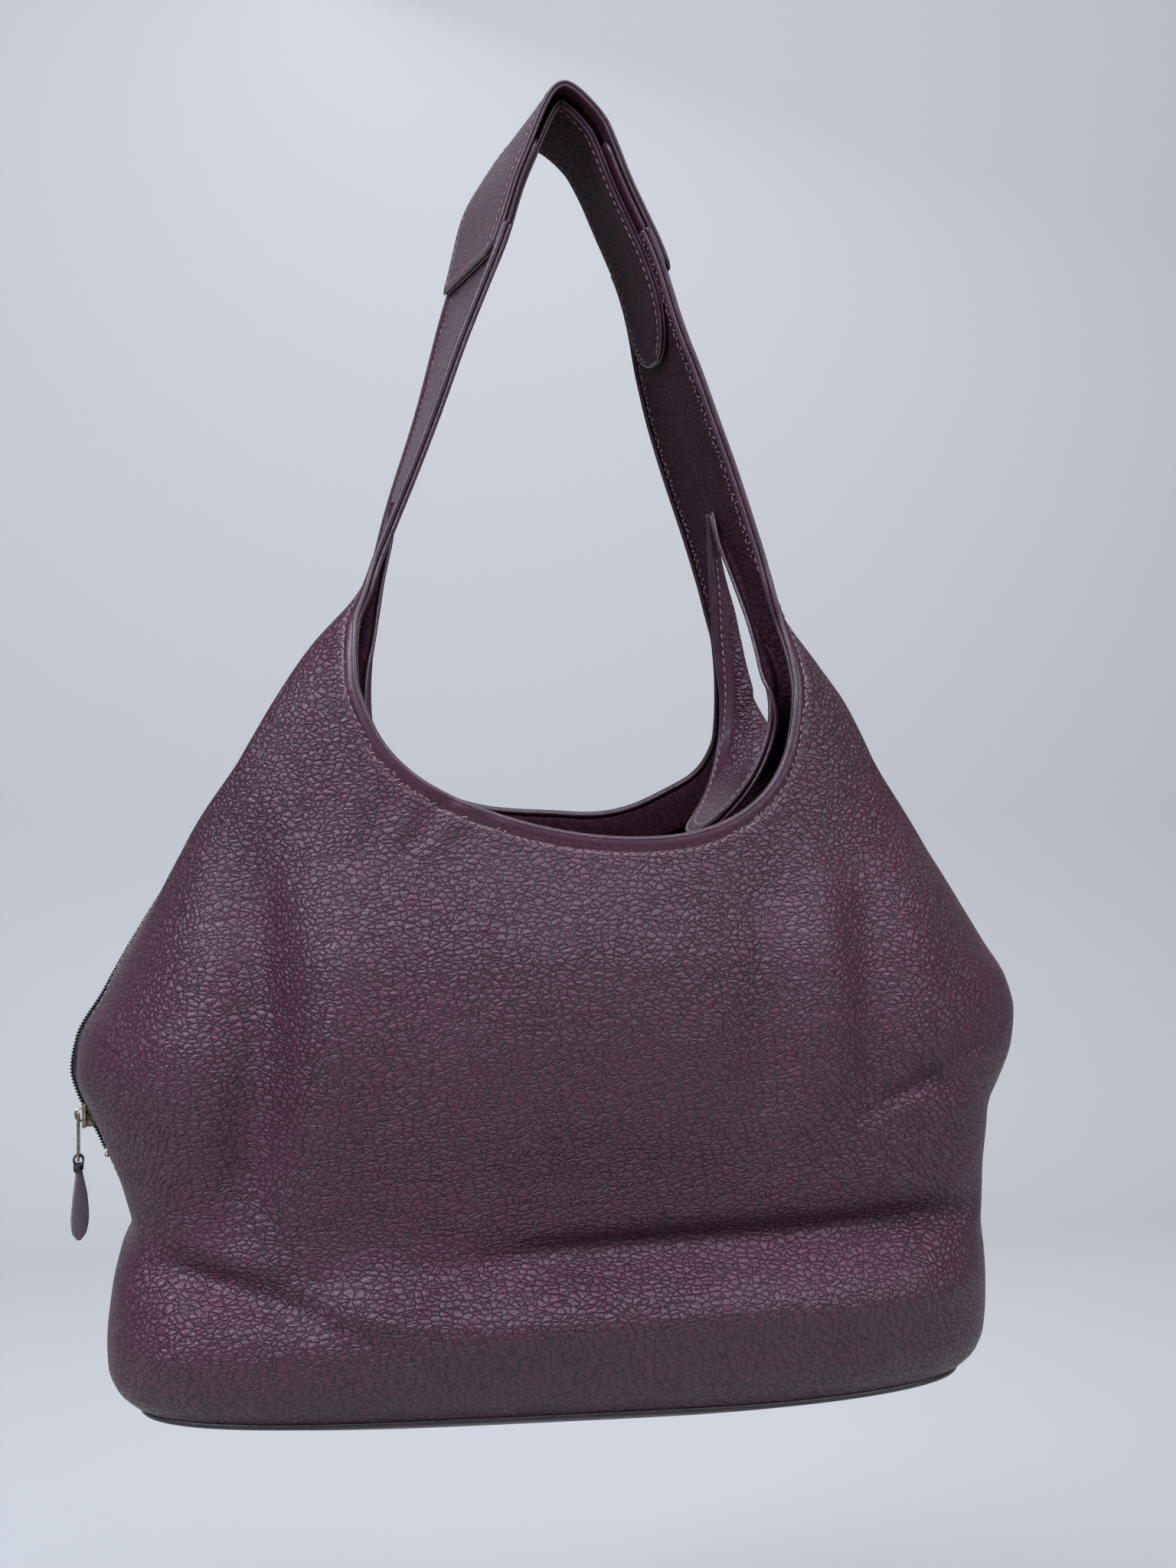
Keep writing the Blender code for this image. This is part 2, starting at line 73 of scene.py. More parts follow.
def through(points):
    """A smooth vectorised function through (position, value) points, which doesn't overshoot."""
    at, value = np.array(points, float).T
    step = np.diff(at)
    slope = np.diff(value) / step
    tangent = np.concatenate([slope[:1], np.zeros(len(at) - 2), slope[-1:]])
    for i in range(1, len(at) - 1):
        if slope[i - 1] * slope[i] > 0:
            tangent[i] = 2 * slope[i - 1] * slope[i] / (slope[i - 1] + slope[i])

    def value_at(x):
        x = np.clip(np.asarray(x, float), at[0], at[-1])
        i = np.clip(np.searchsorted(at, x, side="right") - 1, 0, len(step) - 1)
        t = (x - at[i]) / step[i]
        ends = (1 + 2 * t) * (1 - t) ** 2 * value[i] + t * t * (3 - 2 * t) * value[i + 1]
        return ends + step[i] * (t * (1 - t) ** 2 * tangent[i] + t * t * (t - 1) * tangent[i + 1])

    return value_at


def fade(low, high, x):
    """0 before low, 1 after high, smooth between them."""
    t = np.clip((np.asarray(x, float) - low) / (high - low), 0, 1)
    return t * t * (3 - 2 * t)


def hump(x, middle, width):
    return np.exp(-(((x - middle) / width) ** 2))


def place(points):
    """Millimetres above the base as the frame's metres."""
    made = np.array(points, float) * 0.001
    made[..., 2] -= HANG * 0.001
    return made


def unit(vectors):
    return vectors / (np.linalg.norm(vectors, axis=-1, keepdims=True) + 1e-12)


def running(line):
    """Length along a polyline up to each of its points."""
    return np.concatenate([[0], np.cumsum(np.linalg.norm(np.diff(line, axis=0), axis=1))])


def resampled(line, count):
    """A polyline as count points at equal distances."""
    line = np.array(line, float)
    run = running(line)
    at = np.linspace(0, run[-1], count)
    return np.stack([np.interp(at, run, line[:, k]) for k in range(line.shape[1])], axis=1)


def softened(line, passes):
    """A polyline with each inner point drawn towards its neighbours."""
    for _ in range(passes):
        line[1:-1] = 0.25 * line[:-2] + 0.5 * line[1:-1] + 0.25 * line[2:]
    return line


def rounded(line, count, passes=3):
    """A polyline with its corners cut, then count points at equal distances."""
    line = np.array(line, float)
    for _ in range(passes):
        cut = np.empty((2 * len(line), line.shape[1]))
        cut[0], cut[-1] = line[0], line[-1]
        cut[1:-1:2] = 0.75 * line[:-1] + 0.25 * line[1:]
        cut[2::2] = 0.25 * line[:-1] + 0.75 * line[1:]
        line = cut
    return resampled(line, count)


# The wall: half-widths at the front and the back corners, half-depths and squareness by height

RIGHT_FRONT = through(
    [(0, 186), (4, 193), (12, 199), (24, 201.5), (44, 202), (68, 202), (104, 203), (130, 206.5),
     (150, 213), (166, 218.5), (181, 220), (196, 216), (214, 204.5), (254, 182), (291, 162.5),
     (324, 142.5), (342, 127.5), (360, 112.5), (374, 105), (390, 97), (412, 90)]
)
RIGHT_BACK = through(
    [(0, 176), (4, 184), (12, 191), (24, 195), (44, 198), (68, 199.5), (104, 199), (130, 202),
     (150, 208), (175, 212), (196, 209), (214, 201), (254, 176), (291, 147), (315, 123),
     (335, 108), (350, 99), (365, 93), (390, 86), (412, 80)]
)
LEFT_FRONT = through(
    [(0, 185), (4, 193), (12, 200), (22, 203), (36, 203.5), (62, 201.5), (77, 198.5), (92, 193.5),
     (105, 196), (120, 202), (133, 208), (148, 215.5), (158, 219), (172, 218), (193, 206),
     (224, 191.5), (256, 179), (287, 165.5), (316, 148), (341, 130), (359, 114), (374, 100), (390, 91),
     (412, 84)]
)
LEFT_BACK = through(
    [(0, 177), (4, 186), (12, 195), (22, 200), (36, 202), (62, 201.5), (77, 200), (92, 198),
     (105, 201), (133, 210), (158, 215), (172, 213), (193, 205), (224, 192), (256, 173), (287, 149),
     (316, 122), (341, 103), (359, 93), (374, 88), (390, 83), (412, 76)]
)
FRONT_DEPTH = through(
    [(0, 66), (4, 70), (12, 76), (26, 82), (42, 84.5), (56, 84), (68, 80.5), (79, 76.5), (92, 75.5),
     (112, 78.5), (145, 84), (180, 87), (210, 86), (235, 80), (262, 71), (300, 66), (363, 61),
     (404, 56), (430, 52)]
)
BACK_DEPTH = through(
    [(0, 66), (4, 70), (12, 76), (30, 81), (90, 80), (150, 84), (200, 83), (235, 77), (262, 70),
     (300, 66), (363, 61), (404, 56), (430, 52)]
)
RIGHT_SQUARE = through([(0, 3.2), (60, 3.2), (150, 2.6), (262, 2.5), (331, 3.0), (404, 3.6)])
LEFT_SQUARE = through([(0, 4.2), (60, 3.6), (150, 2.8), (262, 2.6), (331, 3.0), (404, 3.6)])
# How far the side wall is drawn in between its corners, at its front and at its back
FRONT_DRAWN = through(
    [(0, 0), (195, 0), (235, 4), (262, 12), (285, 22), (303, 29), (318, 33), (331, 33), (347, 22),
     (360, 17), (376, 12), (392, 7), (404, 3), (420, 0)]
)
BACK_DRAWN = through(
    [(0, 0), (195, 0), (235, 4), (262, 12), (285, 20), (303, 24), (318, 20), (331, 14), (347, 8),
     (360, 4), (376, 1), (404, 0)]
)
DRAWN_HALF = through([(0, 30), (262, 32), (300, 40), (345, 40), (404, 36)])
# Half of the gap between the two panels' edges along the zip
ZIP_GAP = through([(0, 0), (100, 0), (114, 4.6), (200, 4.8), (278, 4.4), (296, 0), (700, 0)])

# Necklines from right to left, as (x, height)
FRONT_NECK = [
    (102.6, 331), (100.8, 315), (96.2, 297.7), (87.3, 283.8), (73.1, 272.7), (55.4, 265.9),
    (34.3, 263.2), (10, 264), (-10.8, 267.3), (-31.4, 272.8), (-52.2, 280.6), (-69.8, 290.6),
    (-83.6, 304.8), (-90.6, 320.5), (-94, 331),
]
BACK_NECK = [
    (88, 331), (88, 318), (87.5, 307), (80, 293), (65.2, 284.5), (47, 275.5), (28.8, 271.8),
    (4.7, 273.4), (-14, 274), (-31, 276), (-52, 282.6), (-71, 293), (-84, 306), (-89.5, 320),
    (-91, 331),
]
# Armhole edges from the bottom up to where the arms start, as (distance from the middle, height)
FRONT_HOLE = [(0, 303), (9, 304), (18, 309), (24, 318), (27, 331)]
BACK_HOLE = [(0, 303), (8, 304.5), (14, 310), (18, 319), (21, 331)]
FRONT_HOLE_ABOVE = through(
    [(331, 27), (347, 26), (360, 23), (376, 17.5), (392, 11.5), (405, 6), (414, 2), (419, 0.6),
     (422, 0.15), (700, 0.15)]
)
BACK_HOLE_ABOVE = through(
    [(331, 18), (347, 19), (360, 18.5), (376, 15), (392, 10), (405, 5.5), (414, 2), (419, 0.6),
     (422, 0.15), (700, 0.15)]
)

# The strap: outer face of the arm bands, as (half-width, height)
STRAP_FOOT = 345.0
STRAP_LINE = [
    (95, 345), (92.8, 358), (89.5, 372), (85, 388), (79.6, 405), (77, 413), (71.2, 430),
    (63.8, 451), (57, 472), (50.8, 493), (44.6, 513), (38.5, 529), (32, 545), (25.5, 560),
    (19.8, 574), (13, 587.5), (6.5, 597), (0, 601.1),
]
strap_line = rounded(STRAP_LINE + [(-x, z) for x, z in STRAP_LINE[-2::-1]], 801, passes=2)
strap_run = running(strap_line)
crest_at = len(strap_line) // 2
# Along the strap the parameter is the height low down and goes on as a length over the crest
STRAP_X = strap_line[: crest_at + 1, 0]
STRAP_Z = strap_line[: crest_at + 1, 1] + STRAP_LINE[-1][1] - strap_line[crest_at, 1]
STRAP_V = STRAP_FOOT + strap_run[: crest_at + 1]
STRAP_LENGTH = strap_run[-1]
CREST = STRAP_V[-1]
# How far the band's front edge stands out past its middle, as the strap hangs a little turned
RIGHT_TOE = through(
    [(345, 4), (364, 6), (387, 6.6), (430, 6.8), (470, 5.8), (520, 2), (575, 0.5), (605, 2),
     (628, 4), (700, 4)]
)
LEFT_TOE = through(
    [(345, 4), (364, 3), (380, 1), (400, -1), (430, -3), (480, -4.5), (530, -7.5), (575, -9),
     (605, -6.5), (628, -4), (700, -4)]
)
# How far the whole band leans to the left
LEAN = through([(345, 0), (480, 0), (535, -2.7), (575, -4.2), (628, -4.5), (700, -4.5)])


def strap_at(v, y, side, lift=0.0):
    """Point of the arm band's outer face at a length v along it and a depth y."""
    v = np.asarray(v, float)
    x = np.interp(v, STRAP_V, STRAP_X)
    z = np.interp(v, STRAP_V, STRAP_Z)
    dx = np.interp(v + 1, STRAP_V, STRAP_X, right=-0.4) - np.interp(v - 1, STRAP_V, STRAP_X)
    dz = np.interp(v + 1, STRAP_V, STRAP_Z) - np.interp(v - 1, STRAP_V, STRAP_Z)
    length = np.hypot(dx, dz) + 1e-9
    nx = dz / length
    nz = -dx / length
    if side > 0:
        toe = RIGHT_TOE(v)
        bowed = 5.1 * fade(490, 545, v) * fade(CREST, CREST - 24, v)
    else:
        toe = LEFT_TOE(v)
        bowed = 3.0 * hump(v, 575, 22) - 2.9 * fade(480, 535, v) * fade(CREST, CREST - 40, v)
    x = x + bowed + nx * lift - toe * y / STRAP_HALF
    z = z + nz * lift
    return side * x + LEAN(v), y, z


def corner_width(y, h, side):
    """Half-width of the wall's section at a depth, on the right (side 1) or the left (side -1)."""
    share = fade(-45, 45, y)
    if side > 0:
        return (1 - share) * RIGHT_FRONT(h) + share * RIGHT_BACK(h)
    return (1 - share) * LEFT_FRONT(h) + share * LEFT_BACK(h)


def half_depth(h, front):
    return FRONT_DEPTH(h) if front else BACK_DEPTH(h)


def square(h, side):
    return RIGHT_SQUARE(h) if side > 0 else LEFT_SQUARE(h)


def lifted(x, h):
    """How much the soft base's corners ride up."""
    return (EDGE_RISE + 2.5 * fade(70, 200, x) + 0.5 * fade(-100, -200, x)) * fade(80, 0, h)


def folds(x, h, front):
    """Folds of the front or the back in millimetres outwards, over the width and the height."""
    if not front:
        out = 2.4 * hump(x + 95, 0, 42) * hump(h, 160, 60)
        out += 2.2 * hump(x - 80, 0, 46) * hump(h, 120, 55)
        out -= 2.4 * hump(x - 0.35 * (h - 150), 15, 24) * fade(60, 120, h) * fade(255, 200, h)
        out -= 1.6 * hump(h + 0.06 * x, 64, 9) * hump(x, -20, 120)
        return out * fade(8, 50, h)
    out = np.zeros_like(x)
    # soft valley down the left, and the bulges either side of it
    valley = -140 + 6 * np.sin((h - 120) / 40)
    out -= 6.4 * hump(x, valley, 15) * fade(70, 130, h) * fade(285, 225, h)
    out += 4.0 * hump(x, -104, 20) * hump(h, 190, 62)
    out += 2.4 * hump(x, -176, 16) * hump(h, 165, 45)
    # the roll above the base, its crease, and the dip that turns to the left pinch
    crease = 84 + 0.045 * x - 7 * fade(-20, -150, x)
    out -= 4.4 * hump(h, crease, 7.0) * fade(-60, 10, x)
    out -= 2.0 * hump(h, crease - 2, 14)
    out += 4.2 * hump(h, crease - 28, 16) * fade(-110, -30, x)
    pinch = 86 - 0.32 * (x + 195)
    out -= 5.0 * hump(h, pinch, 9) * fade(-60, -150, x)
    out += 4.2 * hump(x, -84, 24) * hump(h, 66, 15)
    out += 2.2 * hump(x, -178, 16) * hump(h, 36, 16)
    # creases that run down from the neckline's left
    for start, slant, deep, wide in ((-76, 0.5, 0.8, 7), (-49, 0.8, 1.1, 7), (-22, 1.05, 0.6, 8)):
        across = (x - start) + slant * (h - 288) * -1
        out -= deep * hump(across, 0, wide) * fade(205, 250, h) * fade(300, 275, h)
    # two soft vertical folds on the right
    out -= 2.2 * hump(x, 84 + 0.06 * (h - 200), 13) * fade(120, 170, h) * fade(262, 235, h)
    out += 2.0 * hump(x, 108, 13) * fade(120, 165, h) * fade(275, 235, h)
    out -= 2.4 * hump(x, 132, 11) * fade(130, 165, h) * fade(262, 225, h)
    out += 1.6 * hump(x, 158, 13) * hump(h, 215, 40)
    # creases that end in the right pinch
    for start, slant, deep, wide in ((176, 0.5, 2.0, 5), (158, 0.15, 1.6, 5), (143, -0.35, 1.2, 5)):
        across = (h - start) - slant * (x - 200)
        out -= deep * hump(across, 0, wide) * fade(110, 170, x)
    # the middle is drawn in a little under its bulge
    out -= 2.0 * hump(x, 10, 70) * hump(h, 112, 24)
    out += 1.6 * hump(x, 20, 90) * hump(h, 200, 32)
    return out * FOLD_DEPTH * fade(6, 40, h)


def side_folds(y, h, side):
    """Folds of the side walls, outwards."""
    out = -1.8 * hump(h + 0.3 * abs(y), 92, 8) * (1.0 if side < 0 else 0.4)
    out -= 1.6 * hump(h - 0.4 * abs(y), 128, 9) * (0.3 if side < 0 else 1.0)
    return out * fade(10, 60, h)


def wall(angle, h, front):
    """Points of the wall at angles (0 the right side, pi the left) and heights."""
    angle = np.asarray(angle, float)
    h = np.asarray(h, float)
    along = np.cos(angle)
    across = np.abs(np.sin(angle))
    depth = half_depth(h, front)
    sign = -1.0 if front else 1.0
    made = np.zeros(np.broadcast(angle, h).shape + (3,))
    for side in (1, -1):
        power = 2 / square(h, side)
        y = sign * depth * across**power
        x = corner_width(y, h, side) * np.abs(along) ** power
        share = fade(-22, 26, y)
        drawn = (1 - share) * FRONT_DRAWN(h) + share * BACK_DRAWN(h)
        drawn = drawn * (1 - fade(0.5, 1.0, np.abs(y) / DRAWN_HALF(h)))
        x = x - drawn * fade(0.0, 0.4, np.abs(along))
        if side < 0:
            y = y + sign * ZIP_GAP(h) * np.clip(1 - np.abs(y) / 16, 0, 1)
        keep = (along >= 0) if side > 0 else (along < 0)
        made[..., 0] = np.where(keep, side * x, made[..., 0])
        made[..., 1] = np.where(keep, y, made[..., 1])
    made[..., 2] = h
    facing = fade(0.25, 0.8, across)
    made[..., 1] += sign * folds(made[..., 0], h, front) * facing
    swell = side_folds(made[..., 1], h, 1) * (along > 0) + side_folds(made[..., 1], h, -1) * (along < 0)
    made[..., 0] += np.sign(along) * swell * (1 - facing)
    made[..., 2] += lifted(made[..., 0], h)
    return made


def bisected(low, high, short):
    """Values between low and high up to which short holds."""
    for _ in range(40):
        mid = (low + high) / 2
        go_on = short(mid)
        low = np.where(go_on, mid, low)
        high = np.where(go_on, high, mid)
    return (low + high) / 2


def angle_of_x(x, h, front):
    """Angle where the wall passes a place along the width."""
    ends = np.zeros_like(x), np.full_like(x, math.pi)
    return bisected(*ends, lambda mid: wall(mid, h, front)[..., 0] > x)


def angle_of_y(y, h, front, side):
    """Angle near one side where the wall is a distance y from the middle."""
    def turned(angle):
        return angle if side > 0 else math.pi - angle

    ends = np.zeros_like(y), np.full_like(y, math.pi / 2)
    return turned(bisected(*ends, lambda mid: np.abs(wall(turned(mid), h, front)[..., 1]) < y))


def spread_angles(first, last, h, front, count):
    """Angles from first to last at equal distances along the wall's section."""
    fine = np.linspace(first, last, 600)
    run = running(wall(fine, np.full_like(fine, h), front))
    return np.interp(np.linspace(0, run[-1], count), run, fine)


# Neckline's place along the width where it runs up into each arm, at five heights
ARM_STARTS = {
    (True, 1): (102.6, 102.2, 101, 99.4, 97.6),
    (True, -1): (94, 94.4, 94.6, 94.2, 93),
    (False, 1): (88, 87.8, 87, 86, 84.8),
    (False, -1): (91, 91, 90.4, 89.6, 88.4),
}


def arm_edge(front, side):
    """Depth of an arm's outer edge by length, from the neckline's end up to the strap."""
    h = np.array([331.0, 338.0, 347.0, 355.0, 362.0])
    x = side * np.array(ARM_STARTS[front, side], float)
    y = np.abs(wall(angle_of_x(x, h, front), h, front)[:, 1])
    low = list(zip(h, y))
    return through(low + [(374, (y[-1] + 41) / 2), (388, 40), (402, 39.2), (415, 39), (700, 39)])


def arm_point(y, v, side, front):
    """Points of an arm at depths y (from the middle) and lengths v."""
    sign = -1.0 if front else 1.0
    h = np.minimum(v, 412.0)
    low = wall(angle_of_y(y, h, front, side), h, front)
    x, yy, z = strap_at(np.maximum(v, STRAP_FOOT), sign * y, side)
    high = np.stack([x, np.broadcast_to(yy, x.shape), z], axis=-1)
    share = fade(350, 396, v)[..., None]
    return (1 - share) * low + share * high


def edge_roll(distance):
    """Height of the turned, stitched edge above the leather, by distance from the edge."""
    roll = 0.9 * np.sqrt(np.clip(1 - ((distance - 2.1) / 2.6) ** 2, 0, 1))
    groove = -0.55 * hump(distance, 6.4, 1.1)
    return roll + groove


# Columns of quads over half an armhole, over an arm and along the neckline
SIDE_COLUMNS = 14
ARM_COLUMNS = 44
NECK_COLUMNS = 150
FOOT = 1.5  # height of the wall's lowest row


def row_shares(length=300.0, far=2.3, near=0.8, zone=11.0):
    """Shares along a column, closer together near its upper end."""
    low = np.linspace(0, 1 - zone / length, int((length - zone) / far) + 1)
    return np.concatenate([low, np.linspace(1 - zone / length, 1, int(zone / near) + 1)[1:]])


def numbered(grid):
    """Numbers of a grid's points."""
    return np.arange(grid.shape[0] * grid.shape[1]).reshape(grid.shape[:2])


def quads_of(ids, around=False, closed=False):
    """Quads between a grid's numbered points, which may also go on round both its directions."""
    if around:
        ids = np.concatenate([ids, ids[:, :1]], axis=1)
    if closed:
        ids = np.concatenate([ids, ids[:1]])
    corners = [ids[:-1, :-1], ids[:-1, 1:], ids[1:, 1:], ids[1:, :-1]]
    return np.stack(corners, axis=-1).reshape(-1, 4)


def half_shell(front):
    """Grids of the front or back leather: the panel, and for each side its arm."""
    hole = rounded(FRONT_HOLE if front else BACK_HOLE, SIDE_COLUMNS + 1)
    neck = rounded(FRONT_NECK if front else BACK_NECK, NECK_COLUMNS + 1, passes=2)
    tops = []
    for side in (1, -1):
        at_hole = angle_of_y(hole[:, 0] + 1e-3, hole[:, 1], front, side)
        ends = [at_hole[-1], angle_of_x(neck[[0 if side > 0 else -1], 0], np.array([JOIN]), front)[0]]
        arm = spread_angles(ends[0], ends[1], JOIN, front, ARM_COLUMNS + 1)
        angle = np.concatenate([at_hole, arm[1:]])
        height = np.concatenate([hole[:, 1], np.full(ARM_COLUMNS, JOIN)])
        tops.append((angle, height))
    neck_angle = angle_of_x(neck[:, 0], neck[:, 1], front)
    angle = np.concatenate([tops[0][0], neck_angle[1:-1], tops[1][0][::-1]])
    height = np.concatenate([tops[0][1], neck[1:-1, 1], tops[1][1][::-1]])
    count = len(angle)
    share = np.linspace(0, 1, count)
    foot = spread_angles(0, math.pi, 40.0, front, 400)
    foot = np.interp(share, np.linspace(0, 1, 400), foot)
    rows = row_shares()
    grid = np.zeros((len(rows), count, 3))
    for r, t in enumerate(rows):
        grid[r] = wall(foot + (angle - foot) * t**1.15, FOOT + (height - FOOT) * t, front)
    arms = {}
    inner = FRONT_HOLE_ABOVE if front else BACK_HOLE_ABOVE
    lengths = np.linspace(JOIN, BAND_TOP, 112)
    for side in (1, -1):
        at = range(SIDE_COLUMNS, SIDE_COLUMNS + ARM_COLUMNS + 1)
        columns = list(at) if side > 0 else [count - 1 - c for c in at]
        start = grid[-1][columns]
        strip = [start]
        first = np.abs(start[:, 1])
        uniform = np.linspace(0, 1, ARM_COLUMNS + 1)
        begun = (first - first[0]) / (first[-1] - first[0])
        outer = arm_edge(front, side)
        for v in lengths[1:]:
            mixed = begun + (uniform - begun) * fade(JOIN, JOIN + 60, v)
            y = inner(v) + (outer(v) - inner(v)) * mixed
            strip.append(arm_point(y, np.full_like(y, v), side, front))
        arms[side] = (columns, np.array(strip))
    return grid, arms


def welded_shell(front):
    """Vertices and quads of one half's outer face, with each vertex's place in its grid."""
    grid, arms = half_shell(front)
    rows, across = grid.shape[:2]
    points = [grid.reshape(-1, 3)]
    index = numbered(grid)
    quads = [quads_of(index)]
    total = rows * across
    lines = {"foot": index[0], "left": index[:, -1]}
    neck_first = SIDE_COLUMNS + ARM_COLUMNS
    neck_last = across - 1 - neck_first
    outline = list(index[-1, neck_first : neck_last + 1])
    holes = {}
    for side in (1, -1):
        columns, strip = arms[side]
        steps, wide = strip.shape[:2]
        ids = np.empty((steps, wide), int)
        ids[0] = index[-1][columns]
        ids[1:] = total + np.arange((steps - 1) * wide).reshape(steps - 1, wide)
        points.append(strip[1:].reshape(-1, 3))
        total += (steps - 1) * wide
        cells = quads_of(ids)
        quads.append(cells if side > 0 else cells[:, ::-1])
        outer = list(ids[:, -1])
        outline = outer[::-1] + outline[1:] if side > 0 else outline[:-1] + outer
        hole = index[-1, ::side][: SIDE_COLUMNS + 1]
        holes[side] = np.concatenate([hole, ids[1:, 0]])
    points = np.concatenate(points)
    quads = np.concatenate(quads)
    if front:
        quads = quads[:, ::-1]
    return points, quads, np.array(outline), holes, lines


def vertex_normals(points, quads):
    a, b, c, d = (points[quads[:, k]] for k in range(4))
    face = np.cross(c - a, d - b)
    made = np.zeros_like(points)
    for k in range(4):
        np.add.at(made, quads[:, k], face)
    return unit(made)


def faced(points, quads, at, way):
    """Quads turned so that the normal at one point looks a given way, and their normals."""
    normals = vertex_normals(points, quads)
    if normals[at] @ np.array(way) < 0:
        return quads[:, ::-1], -normals
    return quads, normals


def build(name, points, faces, materials, slots=None):
    """A mesh object from millimetre points and faces."""
    mesh = bpy.data.meshes.new(name)
    mesh.from_pydata(place(points).tolist(), [], [tuple(int(i) for i in f) for f in faces])
    for made in materials:
        mesh.materials.append(made)
    if slots is not None:
        mesh.polygons.foreach_set("material_index", np.array(slots, np.int32))
    mesh.shade_smooth()
    mesh.update()
    piece = bpy.data.objects.new(name, mesh)
    bpy.context.collection.objects.link(piece)
    return piece


def thickened(points, quads, thickness):
    """Both faces of a sheet and its rim, as points, quads and a slot per quad."""
    inner = points - vertex_normals(points, quads) * thickness
    count = len(points)
    ends = np.concatenate([quads[:, [0, 1]], quads[:, [1, 2]], quads[:, [2, 3]], quads[:, [3, 0]]])
    _, first, times = np.unique(np.sort(ends, axis=1), axis=0, return_index=True, return_counts=True)
    rim = ends[first[times == 1]]
    rim = rim[rim[:, 0] != rim[:, 1]]
    sides = np.stack([rim[:, 1], rim[:, 0], rim[:, 0] + count, rim[:, 1] + count], axis=1)
    faces = np.concatenate([quads, quads[:, ::-1] + count, sides])
    slots = np.concatenate([np.zeros(len(quads)), np.ones(len(quads)), np.full(len(sides), 2)])
    return np.concatenate([points, inner]), faces, slots.astype(int)


def ply(name, points, quads, thickness, materials):
    """A sheet with a material for each face and one for its rim."""
    both, faces, slots = thickened(points, quads, thickness)
    return build(name, both, faces, materials, slots)


def graded(piece, distance, rest=0):
    """A piece whose two faces know the distance to an edge. The pebbles are flat near one."""
    values = np.concatenate([distance, distance, np.zeros(rest)]) * 0.001
    made = piece.data.attributes.new("edge_distance", "FLOAT", "POINT")
    made.data.foreach_set("value", values.astype(np.float32))
    return piece


def capped(ring, closed=False):
    """Points and faces of a bar from its rings of points."""
    index = numbered(ring)
    faces = [tuple(q) for q in quads_of(index, around=True, closed=closed)]
    if not closed:
        faces += [tuple(index[0][::-1]), tuple(index[-1])]
    return ring.reshape(-1, 3), faces


def tube(path, radius, sides=8, closed=False):
    """Points and faces of a round bar along a path. The radius may change along it."""
    path = np.array(path, float)
    count = len(path)
    radius = np.broadcast_to(radius, count)
    ahead = np.roll(path, -1, axis=0) - np.roll(path, 1, axis=0)
    if not closed:
        ahead[0] = path[1] - path[0]
        ahead[-1] = path[-1] - path[-2]
    ahead = unit(ahead)
    side = np.zeros_like(path)
    last = np.array(Vector(ahead[0]).orthogonal())
    for i in range(count):
        last = unit(last - np.dot(last, ahead[i]) * ahead[i])
        side[i] = last
    over = np.cross(ahead, side)
    turn = np.linspace(0, 2 * math.pi, sides, endpoint=False)[None, :, None]
    ring = np.cos(turn) * side[:, None] + np.sin(turn) * over[:, None]
    return capped(path[:, None] + ring * radius[:, None, None], closed)


def joined(parts):
    """Several (points, faces) as one."""
    points = []
    faces = []
    total = 0
    for some, those in parts:
        points.append(some)
        faces += [tuple(int(i) + total for i in f) for f in those]
        total += len(some)
    return np.concatenate(points), faces


# Materials


